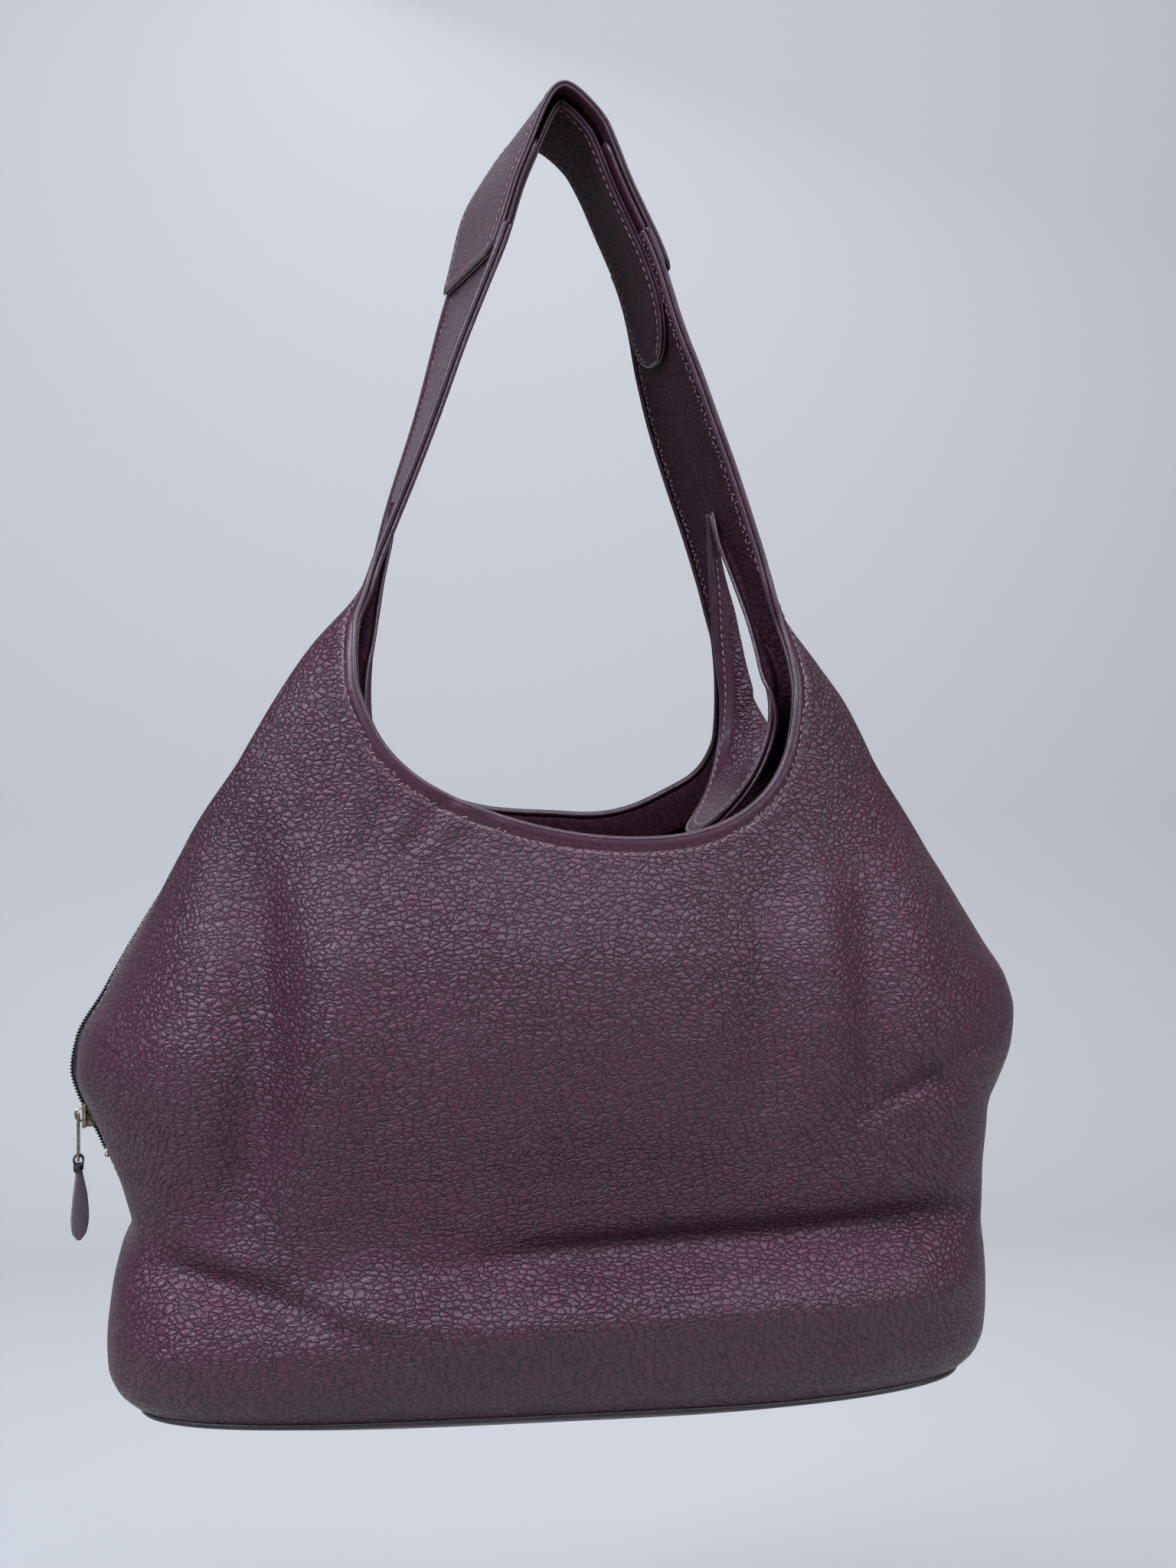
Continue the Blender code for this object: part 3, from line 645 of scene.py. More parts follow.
class Nodes:
    """A short way to write a material's node tree."""

    def __init__(self, name):
        self.material = bpy.data.materials.new(name)
        self.material.use_nodes = True
        self.tree = self.material.node_tree
        self.shader = self.tree.nodes["Principled BSDF"]

    def add(self, kind, **values):
        made = self.tree.nodes.new(kind)
        for key, value in values.items():
            setattr(made, key, value)
        return made

    def link(self, out, into):
        self.tree.links.new(out, into)

    def value(self, node, name, amount):
        if isinstance(amount, bpy.types.NodeSocket):
            self.link(amount, node.inputs[name])
        else:
            node.inputs[name].default_value = amount

    def math(self, operation, a, b):
        made = self.add("ShaderNodeMath", operation=operation)
        self.value(made, 0, a)
        self.value(made, 1, b)
        return made.outputs[0]

    def coords(self, scale=(1, 1, 1)):
        texture = self.add("ShaderNodeTexCoord")
        mapped = self.add("ShaderNodeMapping")
        self.link(texture.outputs["Object"], mapped.inputs["Vector"])
        mapped.inputs["Scale"].default_value = scale
        return mapped.outputs[0]

    def noise(self, vector, scale, detail=2.0, rough=0.5, distortion=0.0):
        made = self.add("ShaderNodeTexNoise")
        self.link(vector, made.inputs["Vector"])
        made.inputs["Scale"].default_value = scale
        made.inputs["Detail"].default_value = detail
        made.inputs["Roughness"].default_value = rough
        made.inputs["Distortion"].default_value = distortion
        return made

    def warped(self, vector, scale, amount):
        """The vector moved by a noise, so that a pattern is less regular."""
        noise = self.noise(vector, scale, 2.0)
        shift = self.add("ShaderNodeVectorMath", operation="MULTIPLY_ADD")
        self.link(noise.outputs["Color"], shift.inputs[0])
        shift.inputs[1].default_value = (amount, amount, amount)
        self.link(vector, shift.inputs[2])
        return shift.outputs[0]

    def cells(self, vector, scale):
        """Distance to the nearest border of a pattern of cells."""
        made = self.add("ShaderNodeTexVoronoi", feature="DISTANCE_TO_EDGE")
        self.link(vector, made.inputs["Vector"])
        made.inputs["Scale"].default_value = scale
        return made.outputs["Distance"]

    def span(self, value, low, high, to_low=0.0, to_high=1.0):
        made = self.add("ShaderNodeMapRange", interpolation_type="SMOOTHSTEP")
        self.link(value, made.inputs["Value"])
        made.inputs["From Min"].default_value = low
        made.inputs["From Max"].default_value = high
        made.inputs["To Min"].default_value = to_low
        made.inputs["To Max"].default_value = to_high
        return made.outputs["Result"]

    def mix(self, factor, a, b):
        made = self.add("ShaderNodeMix", data_type="RGBA")
        self.value(made, "Factor", factor)
        for name, colour in (("A", a), ("B", b)):
            socket = [s for s in made.inputs if s.name == name and s.type == "RGBA"][0]
            if isinstance(colour, tuple):
                socket.default_value = (*colour, 1.0)
            else:
                self.link(colour, socket)
        return [s for s in made.outputs if s.type == "RGBA"][0]

    def bump(self, height, strength, distance):
        made = self.add("ShaderNodeBump")
        made.inputs["Strength"].default_value = strength
        made.inputs["Distance"].default_value = distance
        self.link(height, made.inputs["Height"])
        self.link(made.outputs["Normal"], self.shader.inputs["Normal"])

    def colour(self, socket):
        self.link(socket, self.shader.inputs["Base Color"])

    def finish(self, roughness, **values):
        """Links the roughness, sets the shader's other inputs and hands over the material."""
        self.link(roughness, self.shader.inputs["Roughness"])
        for name, value in values.items():
            self.shader.inputs[name.replace("_", " ")].default_value = value
        return self.material


def pebbled(name, low, mid, high, roughness, shine):
    """Drum-dyed pebbled leather: a mesh of small folds round smooth pebbles, with painted shade darkening
    the folds and a painted highlight lightening each pebble's crown.
    """
    m = Nodes(name)
    base = m.coords()
    wander = m.warped(m.coords((0.78, 1.0, 1.16)), 55.0, 0.006)
    wander = m.warped(wander, 300.0, 0.0014)
    big = m.cells(wander, 350.0)
    small = m.cells(m.warped(base, 520.0, 0.0010), 620.0)
    size = m.noise(base, 22.0, 2.0).outputs["Fac"]
    pebble = m.span(big, 0.0, 0.10)
    dome = m.span(big, 0.0, 0.48)
    fine = m.span(small, 0.0, 0.16)
    pores = m.noise(base, 1900.0, 2.0, 0.6).outputs["Fac"]
    wrinkle = m.noise(m.coords((0.5, 1.0, 1.6)), 85.0, 4.0, 0.62, 0.7).outputs["Fac"]
    wrinkle = m.span(wrinkle, 0.30, 0.62)
    height = m.math("ADD", m.math("MULTIPLY", pebble, 0.60), m.math("MULTIPLY", dome, 0.50))
    height = m.math("MULTIPLY", height, m.span(size, 0.35, 0.65, 0.6, 1.0))
    for layer, share in ((fine, 0.12), (wrinkle, 0.35), (pores, 0.10)):
        height = m.math("ADD", height, m.math("MULTIPLY", layer, share))
    edge_distance = m.add("ShaderNodeAttribute", attribute_name="edge_distance").outputs["Fac"]
    height = m.math("MULTIPLY", height, m.span(edge_distance, 0.0052, 0.0088))
    m.bump(height, 0.95, 0.00080)
    # Painted shade: the folds between the pebbles are coloured darker, down to 0.45 of low; the same mask
    # also makes them rougher.
    fold_shade_mask = m.math("MULTIPLY", pebble, m.span(small, 0.0, 0.10, 0.72, 1.0))
    drift = m.noise(base, 7.0, 3.0, 0.55).outputs["Fac"]
    tone = m.mix(m.span(drift, 0.34, 0.66), low, mid)
    # Painted highlight: each pebble's crown is coloured lighter, towards high.
    tone = m.mix(m.math("MULTIPLY", dome, 0.7), tone, high)
    m.colour(m.mix(fold_shade_mask, tuple(0.45 * part for part in low), tone))
    return m.finish(m.span(fold_shade_mask, 0.0, 1.0, roughness + 0.16, roughness), Specular_IOR_Level=shine)


def smooth_leather(name, low, high, roughness):
    """Turned edges and bindings: the grain is pressed nearly flat, with faint lengthways wrinkles."""
    m = Nodes(name)
    base = m.coords()
    grain = m.cells(m.warped(base, 500.0, 0.001), 700.0)
    fine = m.noise(base, 900.0, 3.0, 0.6).outputs["Fac"]
    soft = m.noise(base, 120.0, 3.0, 0.6).outputs["Fac"]
    m.bump(m.math("ADD", m.span(grain, 0.0, 0.2, 0.0, 0.5), m.math("MULTIPLY", fine, 0.5)), 0.35, 0.0003)
    m.colour(m.mix(m.span(soft, 0.35, 0.65), low, high))
    return m.finish(m.span(fine, 0.3, 0.7, roughness - 0.05, roughness + 0.08), Specular_IOR_Level=0.5)


def metal(name, low, high, roughness):
    """Brass with a worn, faintly scratched skin."""
    m = Nodes(name)
    worn = m.noise(m.coords(), 420.0, 4.0, 0.65).outputs["Fac"]
    scratch = m.noise(m.coords((1, 1, 0.06)), 2600.0, 2.0).outputs["Fac"]
    m.bump(scratch, 0.12, 0.0002)
    m.colour(m.mix(m.span(worn, 0.36, 0.64), low, high))
    return m.finish(m.span(worn, 0.3, 0.7, roughness + 0.12, roughness - 0.06), Metallic=1.0)


def fibrous(name, low, high, scale, roughness, sheen=0.3):
    """Thread, tape, suede and board: a soft matt fibre."""
    m = Nodes(name)
    fibre = m.noise(m.coords(), scale, 4.0, 0.65).outputs["Fac"]
    twist = m.noise(m.coords((1, 1, 0.35)), scale * 2.2, 3.0, 0.6).outputs["Fac"]
    m.bump(m.math("ADD", fibre, twist), 0.5, 0.0003)
    m.colour(m.mix(m.span(fibre, 0.35, 0.65), low, high))
    return m.finish(m.span(twist, 0.3, 0.7, roughness, roughness - 0.1), Sheen_Weight=sheen)


# Outer leather: low and mid are its own tone, high is the painted highlight on the pebbles' crowns, and the
# folds get painted shade from low.
LEATHER_OUT = pebbled(
    "pebbled_leather", (0.038, 0.0054, 0.0170), (0.050, 0.0078, 0.0228), (0.068, 0.0135, 0.0320),
    roughness=0.37, shine=0.42,
)
# Inner faces: the same pebbled leather, coloured darker as painted shade for the inside of the bag and the
# strap's underside; it is also rougher and less shiny.
PAINTED_SHADE_LEATHER = pebbled(
    "pebbled_leather_inside_painted_shade", (0.022, 0.0035, 0.0090), (0.029, 0.0052, 0.0125), (0.040, 0.0085, 0.0180),
    roughness=0.72, shine=0.12,
)
EDGE = smooth_leather("turned_edge_leather", (0.027, 0.0062, 0.0140), (0.042, 0.0110, 0.0225), 0.36)
DARK_EDGE = smooth_leather("painted_edge", (0.010, 0.0055, 0.0075), (0.018, 0.0095, 0.0120), 0.38)
COIL = smooth_leather("zip_coil_plastic", (0.012, 0.010, 0.013), (0.022, 0.019, 0.024), 0.34)
BRASS = metal("aged_brass_metal", (0.16, 0.13, 0.085), (0.42, 0.35, 0.22), 0.34)
TAPE = fibrous("zip_tape_cloth", (0.008, 0.005, 0.007), (0.020, 0.012, 0.016), 1500.0, 0.9)
SUEDE = fibrous("mauve_suede", (0.085, 0.055, 0.072), (0.155, 0.105, 0.130), 1100.0, 0.92, 0.5)
BOARD = fibrous("base_board_fibre", (0.14, 0.11, 0.085), (0.24, 0.20, 0.155), 500.0, 0.9)
THREAD = fibrous("waxed_thread", (0.120, 0.055, 0.060), (0.230, 0.120, 0.125), 900.0, 0.62)
# Materials for a sheet's slots. The inner faces get the painted-shade leather; LINING and BINDING put it on
# both faces of the plies inside.
LEATHERS = [LEATHER_OUT, PAINTED_SHADE_LEATHER, EDGE]  # a sheet's outer face, inner face and rim
LINING = [PAINTED_SHADE_LEATHER, PAINTED_SHADE_LEATHER, EDGE]
BINDING = [PAINTED_SHADE_LEATHER, PAINTED_SHADE_LEATHER, DARK_EDGE]

# The leather


BLEND_FROM = tuple(place([0.0, 0.0, 440.0]))
BLEND_TO = tuple(place([0.0, 0.0, 318.0]))
APEX_STEP = SIDE_COLUMNS + 46  # along an armhole's edge, from its bottom to where the arms join


def across_both(piece, slot, *nodes):
    """A piece of the soft leather that crosses from the bag to the strap."""
    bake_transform(piece)
    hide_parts(*nodes)


def riding(piece, body, slot, *nodes):
    """A piece that moves with one body."""
    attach(piece, body)
    if nodes:
        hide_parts(*nodes)


def distance_to(points, line, reach):
    """Distance of each point to a line of points, or reach where it is further."""
    best = np.full(len(points), float(reach))
    low = line.min(axis=0) - reach
    high = line.max(axis=0) + reach
    near = np.flatnonzero(((points > low) & (points < high)).all(axis=1))
    for start in range(0, len(near), 4000):
        some = near[start : start + 4000]
        gap = np.linalg.norm(points[some][:, None] - line[None], axis=2).min(axis=1)
        best[some] = np.minimum(gap, reach)
    return best


def seated(tree, points):
    """The nearest places on a surface, and its normals there."""
    found = [tree.find_nearest(Vector(point)) for point in points]
    return tuple(np.array([np.array(hit[k]) for hit in found]) for k in (0, 1))


class Half:
    """The front or the back leather's outer face, and what is known about it."""

    def __init__(self, front):
        self.front = front
        self.points, self.quads, self.outline, self.holes, self.lines = welded_shell(front)
        normals = vertex_normals(self.points, self.quads)
        self.distance = distance_to(self.points, self.points[self.outline][::2], 30)
        to_zip = distance_to(self.points, self.points[self.lines["left"]][::2], 30)
        zipped = fade(104, 116, self.points[:, 2]) * fade(300, 286, self.points[:, 2])
        roll = edge_roll(self.distance) + 0.8 * hump(to_zip, 1.4, 1.6) * zipped
        self.points = self.points + normals * roll[:, None]
        self.normals = vertex_normals(self.points, self.quads)
        self.tree = BVHTree.FromPolygons(self.points.tolist(), self.quads.tolist())


def inward(line, normals):
    """Directions along the surface, away from an edge on its left."""
    return unit(np.cross(normals, unit(np.gradient(line, axis=0))))


# Shape of one stitch along its length: position, height above the leather and share of its radius
STITCH_STEPS = np.array([-0.5, -0.36, 0.0, 0.36, 0.5])
STITCH_RISE = np.array([-0.45, 0.05, 0.22, 0.05, -0.45]) - 0.12
STITCH_RADIUS = 0.36 * np.array([0.55, 0.95, 1.0, 0.95, 0.55])


def stitch_line(line, normals, pitch=4.1, length=3.0, slant=0.16):
    """Slanted saddle stitches along a line on a surface."""
    run = running(line)
    parts = []
    at = pitch / 2
    while at < run[-1] - pitch / 2:
        k = max(min(int(np.searchsorted(run, at)), len(line) - 1), 1)
        share = (at - run[k - 1]) / (run[k] - run[k - 1] + 1e-9)
        spot = line[k - 1] * (1 - share) + line[k] * share
        ahead = unit(line[k] - line[k - 1])
        normal = unit(normals[k - 1] * (1 - share) + normals[k] * share)
        along = unit(ahead + slant * np.cross(normal, ahead))
        path = spot + along * (STITCH_STEPS * length)[:, None] + normal * STITCH_RISE[:, None]
        parts.append(tube(path, STITCH_RADIUS, sides=6))
        at += pitch
    return parts


def edge_beads(line, normals, toward):
    """The two turned plies that show at an edge, side by side, as one."""
    first = line - normals * 0.95 - toward * 0.25
    second = line - normals * 3.45 - toward * 0.1
    return joined([tube(first, 1.35, sides=10), tube(second, 1.15, sides=10)])


def tidy_line(half, ids, count):
    """An edge of a half as evenly spaced points, with the surface's normals."""
    both = np.concatenate([half.points[ids], half.normals[ids]], axis=1)
    keep = np.concatenate([[True], np.linalg.norm(np.diff(both[:, :3], axis=0), axis=1) > 0.05])
    both = both[keep]
    run = running(both[:, :3])
    at = np.linspace(0, run[-1], count)
    made = softened(np.stack([np.interp(at, run, both[:, k]) for k in range(6)], axis=1), 3)
    return made[:, :3], unit(made[:, 3:])


NECK_SEAM = 6.4  # from the leather's edge to the stitches
HALVES = {"front": Half(True), "back": Half(False)}
for name, half in HALVES.items():
    piece = graded(ply(f"{name}_leather", half.points, half.quads, LEATHER, LEATHERS), half.distance)
    across_both(piece, "burgundy_leather", f"{name}_panel", f"{name}_left_arm", f"{name}_right_arm")

    line, normals = tidy_line(half, half.outline, 620)
    away = (1 if half.front else -1) * inward(line, normals)
    piece = build(f"{name}_neck_edge_rolls", *edge_beads(line, normals, -away), [EDGE])
    across_both(piece, "turned_edge", f"{name}_neck_edge")

    seat, facing = seated(half.tree, line + away * NECK_SEAM)
    stitches = stitch_line(seat, facing) + stitch_line(seat - facing * LEATHER, -facing, slant=-0.16)
    across_both(build(f"{name}_neck_stitches", *joined(stitches), [THREAD]), "turned_edge")

    # The facing strip inside the neckline, between the arms
    between = slice(150, 470, 2)
    rows = []
    for step in (2.4, 6, 10, 14, 18, 22):
        seat, facing = seated(half.tree, (line + away * step)[between])
        rows.append(seat - facing * (LEATHER + 0.15))
    grid = np.array(rows)
    cells = quads_of(numbered(grid))[:, [0, 3, 2, 1]]
    if half.front:
        cells = cells[:, ::-1]
    piece = ply(f"{name}_neck_facing_strip", grid.reshape(-1, 3), cells, 0.9, BINDING)
    across_both(piece, "dark_lining", f"{name}_neck_facing")

# The side walls' tops: each rolls over at the armhole's edge and hangs into the mouth

LIPS = {
    1: [(73.5, 2, 416), (77, 7, 398), (80, 13, 378), (82, 20, 355), (86, 25, 328), (84, 26, 305),
        (78, 22, 286), (70, 14, 274), (62, 2, 266), (63, -14, 264), (72, -27, 272), (86, -34, 290),
        (95, -34, 312), (96, -30, 336), (91, -21, 360), (84.5, -12, 382), (77.5, -6, 400), (74, -2, 415)],
    -1: [(-74, 2, 416), (-79, 7, 398), (-83, 13, 378), (-86, 20, 355), (-87, 25, 328), (-84, 26, 305),
         (-78, 22, 288), (-70, 12, 278), (-66, 0, 272), (-68, -14, 272), (-75, -26, 279), (-83, -33, 294),
         (-89, -34, 312), (-90, -30, 336), (-88, -21, 360), (-84, -12, 382), (-79, -6, 400), (-75, -2, 415)],
}
for side, side_name in ((1, "right"), (-1, "left")):
    edges = []
    for half in HALVES.values():
        ids = half.holes[side][:APEX_STEP]
        edges.append(np.concatenate([half.points[ids], half.normals[ids]], axis=1))
    packed = softened(resampled(np.concatenate([edges[1][::-1], edges[0][1:]]), 241), 6)
    rim, rim_normals = packed[:, :3], unit(packed[:, 3:])
    lip = rounded(LIPS[side], len(rim))
    up = -side * np.cross(rim_normals, unit(np.gradient(rim, axis=0)))
    # Each line from rim to lip is a curve that leaves along the wall and hangs down at its end
    fall = lip - rim
    length = np.linalg.norm(fall, axis=1, keepdims=True)
    first = rim + up * np.clip(length * 0.45, 0.5, 9) * 0.7
    second = lip - fall * 0.42 + UP * np.clip(length * 0.16, 0, 5)
    shares = np.linspace(0, 1, 22)[:, None, None]
    sheet = (
        (1 - shares) ** 3 * rim + 3 * (1 - shares) ** 2 * shares * first
        + 3 * (1 - shares) * shares**2 * second + shares**3 * lip
    )
    wave = np.sin(np.linspace(0, 9, len(rim)))[None, :, None] * np.sin(math.pi * shares) * 0.8
    sheet = sheet + wave * UP
    sheet[0] -= rim_normals * 0.25
    ids = numbered(sheet)
    cells = quads_of(ids)
    if side > 0:
        cells = cells[:, ::-1]
    points = sheet.reshape(-1, 3)
    flap = ply(f"{side_name}_side_flap_leather", points, cells, LEATHER, LEATHERS)
    across_both(graded(flap, distance_to(points, lip, 30)), "burgundy_leather", f"{side_name}_side_flap")
    beads = edge_beads(lip, vertex_normals(points, cells)[ids[-1]], np.zeros_like(lip))
    piece = build(f"{side_name}_flap_edge_rolls", *beads, [EDGE])
    across_both(piece, "turned_edge", f"{side_name}_flap_edge")
    outward = unit(sheet[-1] - sheet[-3])
    tree = BVHTree.FromPolygons(points.tolist(), cells.tolist())
    wide = length[:, 0] > 7
    stitches = stitch_line(*seated(tree, (lip - outward * 5.6)[wide]))
    across_both(build(f"{side_name}_flap_stitches", *joined(stitches), [THREAD]), "turned_edge")

# The strap's bands over the arms' ends


def band(name, first, last, lift, thickness, half_width, materials, tip=False, droop=0.0):
    """One ply of the strap between two lengths along it, with rounded or square ends."""
    count = int((last - first) / 1.9)
    spots = np.linspace(0, 1, count)
    if tip:
        spots = 0.35 * (1 - np.cos(np.linspace(0, math.pi, count))) / 2 + 0.65 * spots
    rows = []
    for where in first + (last - first) * spots:
        side = 1 if where < STRAP_LENGTH / 2 else -1
        v = STRAP_FOOT + min(where, STRAP_LENGTH - where)
        end = min(where - first, last - where)
        if tip:
            share = min((end + 0.5) / half_width, 1.0)
            reach = half_width * math.sqrt(max(1 - (1 - share) ** 2, 1e-4))
        else:
            reach = half_width - 2.2 * (1 - min(end / 4, 1)) ** 2
        y = np.linspace(-reach, reach, 25)
        fallen = droop * (1 - min(end / 26, 1.0)) ** 2
        rows.append(np.stack(strap_at(np.full_like(y, v), y, side, lift - fallen), axis=-1))
    grid = np.array(rows)
    ids = numbered(grid)
    points = grid.reshape(-1, 3)
    cells, normals = faced(points, quads_of(ids), ids[len(ids) // 2, 12], UP)
    both, faces, slots = thickened(points, cells, thickness)
    loop = np.concatenate([ids[0, :], ids[1:, -1], ids[-1, -2::-1], ids[-2:0:-1, 0]])
    loop = loop[np.linalg.norm(np.roll(points[loop], -1, axis=0) - points[loop], axis=1) > 0.02]
    middle = points[loop] - normals[loop] * thickness / 2
    bead = tube(middle, thickness / 2 + 0.12, sides=8, closed=True)
    marks = np.concatenate([slots, np.full(len(bead[1]), 2)])
    piece = build(name, *joined([(both, faces), bead]), materials, marks)
    graded(piece, distance_to(points, points[loop], 30), len(bead[0]))
    return piece, grid, normals.reshape(grid.shape)


def run_at_height(height, side):
    """Length from the right foot of the strap's line at a height on one side."""
    v = np.interp(height, STRAP_Z, STRAP_V) - STRAP_FOOT
    return v if side > 0 else STRAP_LENGTH - v


def band_stitches(grid, normals, face, lift):
    """Stitches along both long edges of a band, on its outer (1) or inner (-1) face."""
    made = []
    for column in (0, -1):
        line = grid[:, column]
        across = grid[:, 12] - line
        wide = np.linalg.norm(across, axis=1, keepdims=True)
        keep = wide[:, 0] > 12
        seat = line + across / wide * STRAP_SEAM + normals[:, 12] * lift
        made += stitch_line(seat[keep], face * normals[:, 12][keep])
    return made


STRAP_SEAM = 4.2  # from the band's edge to the stitches
outer_ends = (run_at_height(521, 1), run_at_height(525, -1))
inner_ends = (run_at_height(488, 1), run_at_height(508, -1))
thread_parts = []
for name, ends, lift, half_width, materials, slot, node, shape in (
    ("strap_outer_ply", outer_ends, 3.1, 39.2, LEATHERS, "burgundy_leather", "strap_outer_band", {}),
    ("strap_outer_under_ply", outer_ends, 1.6, 38.8, LEATHERS, "dark_lining", "strap_outer_lining", {}),
    ("strap_inner_ply", inner_ends, -2.65, 31.2, LEATHERS, "dark_lining", "strap_inner_band",
     {"tip": True, "droop": 0.8}),
    ("strap_inner_under_ply", inner_ends, -4.1, 30.6, LINING, "burgundy_leather", "strap_inner_lining",
     {"tip": True, "droop": 1.0}),
):
    piece, grid, normals = band(name, *ends, lift, 1.3, half_width, materials, **shape)
    riding(piece, "strap", slot, node)
    if slot == "burgundy_leather":
        thread_parts += band_stitches(grid, normals, *((-1, -1.3) if shape else (1, 0.0)))
riding(build("strap_stitches", *joined(thread_parts), [THREAD]), "strap", "turned_edge")

# One filler ply for each arm band's end, inside the strap
for side, side_name in ((1, "right"), (-1, "left")):
    ends = sorted((run_at_height(530, side), run_at_height(578, side)))
    piece, _, _ = band(f"{side_name}_arm_band_end", *ends, -0.3, 1.9, 37.5, LEATHERS)
    riding(piece, "strap", "burgundy_leather", f"{side_name}_arm_band")

# The base: a sewn-in bottom with a piped seam, and the stiff board inside

BOARD_THICKNESS = 2.0
front_foot, back_foot = (half.points[half.lines["foot"]] for half in HALVES.values())
foot_ring = resampled(np.concatenate([front_foot, back_foot[-2:0:-1], front_foot[:1]]), 281)[:-1]
rings = []
for share in (1.0, 0.992, 0.975, 0.95, 0.88, 0.76, 0.6, 0.4, 0.2):
    ring = foot_ring * np.array([share, share, 0])
    ring[:, 2] = np.maximum(foot_ring[:, 2] * share**3 - fade(1.0, 0.95, share), 0.0)
    rings.append(ring)
rings = np.array(rings)
ids = numbered(rings)
points = rings.reshape(-1, 3)
cells, _ = faced(points, quads_of(ids, around=True)[:, [0, 3, 2, 1]], ids[4, 0], -UP)
both, faces, slots = thickened(points, cells, LEATHER)
# A fan closes the middle of each face
hub = len(both)
both = np.concatenate([both, [[0, 0, 0]], [[0, 0, LEATHER]]])
faces = [tuple(f) for f in faces]
slots = list(slots)
for a, b in zip(ids[-1], np.roll(ids[-1], -1)):
    faces += [(a, hub, b), (b + len(points), hub + 1, a + len(points))]
    slots += [0, 1]
bottom = graded(build("bottom_leather", both, faces, LEATHERS, slots), np.full(len(both) // 2, 20.0))
riding(bottom, "bag", "burgundy_leather", "bottom_panel")

board_rings = rings[3:] + UP * (LEATHER + 0.5)
board_rings[0] *= np.array([0.985, 0.975, 1.0])
ids = numbered(board_rings)
points = board_rings.reshape(-1, 3)
cells, _ = faced(points, quads_of(ids, around=True)[:, [0, 3, 2, 1]], ids[2, 0], UP)
both, faces, _ = thickened(points + UP * BOARD_THICKNESS, cells, BOARD_THICKNESS)
faces = [tuple(f) for f in faces] + [tuple(ids[-1]), tuple(ids[-1][::-1] + len(points))]
board = build("base_board_sheet", both, faces, [BOARD], [0] * len(faces))
riding(board, "bag", "base_board", "bottom_board")

piping = foot_ring * np.array([1.004, 1.008, 1.0]) + UP * 0.1
piping[:, 2] = np.maximum(piping[:, 2], 1.3)
seam = build("base_seam_piping", *tube(piping, 1.5, sides=10, closed=True), [DARK_EDGE])
riding(seam, "bag", "edge_paint", "base_seam_strip")

# The right side seam: a strip inside that the panels are sewn to

rows = []
for h in np.arange(6, 292, 5.0)[:, None]:
    angles = [angle_of_y(np.array([abs(y)]), h, y < 0, 1) for y in (-7, -3.5, -0.6, 0.6, 3.5, 7)]
    rows.append([wall(angle, h, k < 3)[0] for k, angle in enumerate(angles)])
grid = np.array(rows)
points = grid.reshape(-1, 3)
cells, normals = faced(points, quads_of(numbered(grid)), len(points) // 2, (1, 0, 0))
strip = ply("right_side_seam_strip", points - normals * (LEATHER + 0.25), cells, 1.0, BINDING)
riding(strip, "bag", "dark_lining", "right_side_seam")

# The zip

ACROSS = np.array([0.0, 1.0, 0.0])  # from the front to the back
TOOTH_PITCH = 1.5
zip_heights = np.arange(112.0, 283.0, 1.0)
wall_line = wall(np.full_like(zip_heights, math.pi), zip_heights, True)
zip_line = wall_line * np.array([1.0, 0.0, 1.0])
# The coil bows out past the leather's edges
zip_line[:, 0] += 0.6 - 4.0 * hump(zip_heights, 156, 36)
zip_out = np.cross(ACROSS, unit(np.gradient(zip_line, axis=0)))
zip_out *= -np.sign(zip_out[:, :1])
zip_run = running(zip_line)


def zip_at(distance):
    """A point of the coil's middle by length, with the directions out of the bag and up the zip."""
    spot, out = (
        np.array([np.interp(distance, zip_run, values[:, k]) for k in range(3)])
        for values in (zip_line, zip_out)
    )
    along = np.cross(out, ACROSS)
    return spot, unit(out), unit(along * np.sign(along[2]))


coil_first = 11.0
coil_last = zip_run[-1] - 3.0
for name, sign in (("front", -1), ("back", 1)):
    parts = []
    at = coil_first
    while at < coil_last:
        # The two sides' teeth stand half a pitch apart
        spot, out, along = zip_at(at + (TOOTH_PITCH / 2 if sign > 0 else 0))
        loop = [
            spot + sign * ACROSS * (1.55 - 1.75 * math.cos(t)) + out * (math.sin(t) + 0.3)
            + along * (t * 0.16)
            for t in np.linspace(-2.4, 2.4, 9)
        ]
        parts.append(tube(loop, 0.42, sides=5))
        at += TOOTH_PITCH
    riding(build(f"zip_coil_{name}", *joined(parts), [COIL]), "bag", "zip_teeth", f"zip_teeth_{name}")
    rows = []
    for distance in np.arange(2.0, zip_run[-1], 2.0):
        spot = zip_at(distance)[0]
        deep = np.interp(spot[2], wall_line[:, 2], wall_line[:, 0]) + LEATHER + 1.1 - spot[0]
        inner = [0.5 * (1 - k / 5) + deep * min(k / 2.5, 1.0) for k in range(6)]
        rows.append([spot + np.array([x, sign * (0.5 + 2.1 * k), 0]) for k, x in enumerate(inner)])
    grid = np.array(rows)
    cells = quads_of(numbered(grid))
    if sign < 0:
        cells = cells[:, ::-1]
    tape = ply(f"zip_tape_cloth_{name}", grid.reshape(-1, 3), cells, 0.5, [TAPE, TAPE, TAPE])
    riding(tape, "bag", "zip_tape", f"zip_tape_{name}")

for name, distance in (("bottom", coil_first - 3.0), ("top", coil_last + 0.5)):
    spot, out, _ = zip_at(distance)
    clamp = [spot + ACROSS * y + out * (1.5 - 0.12 * y * y) for y in np.linspace(-3.0, 3.0, 9)]
    stop = build(f"zip_{name}_stop_clamp", *tube(clamp, 1.15, sides=10), [BRASS])
    riding(stop, "bag", "aged_brass", f"zip_{name}_stop")

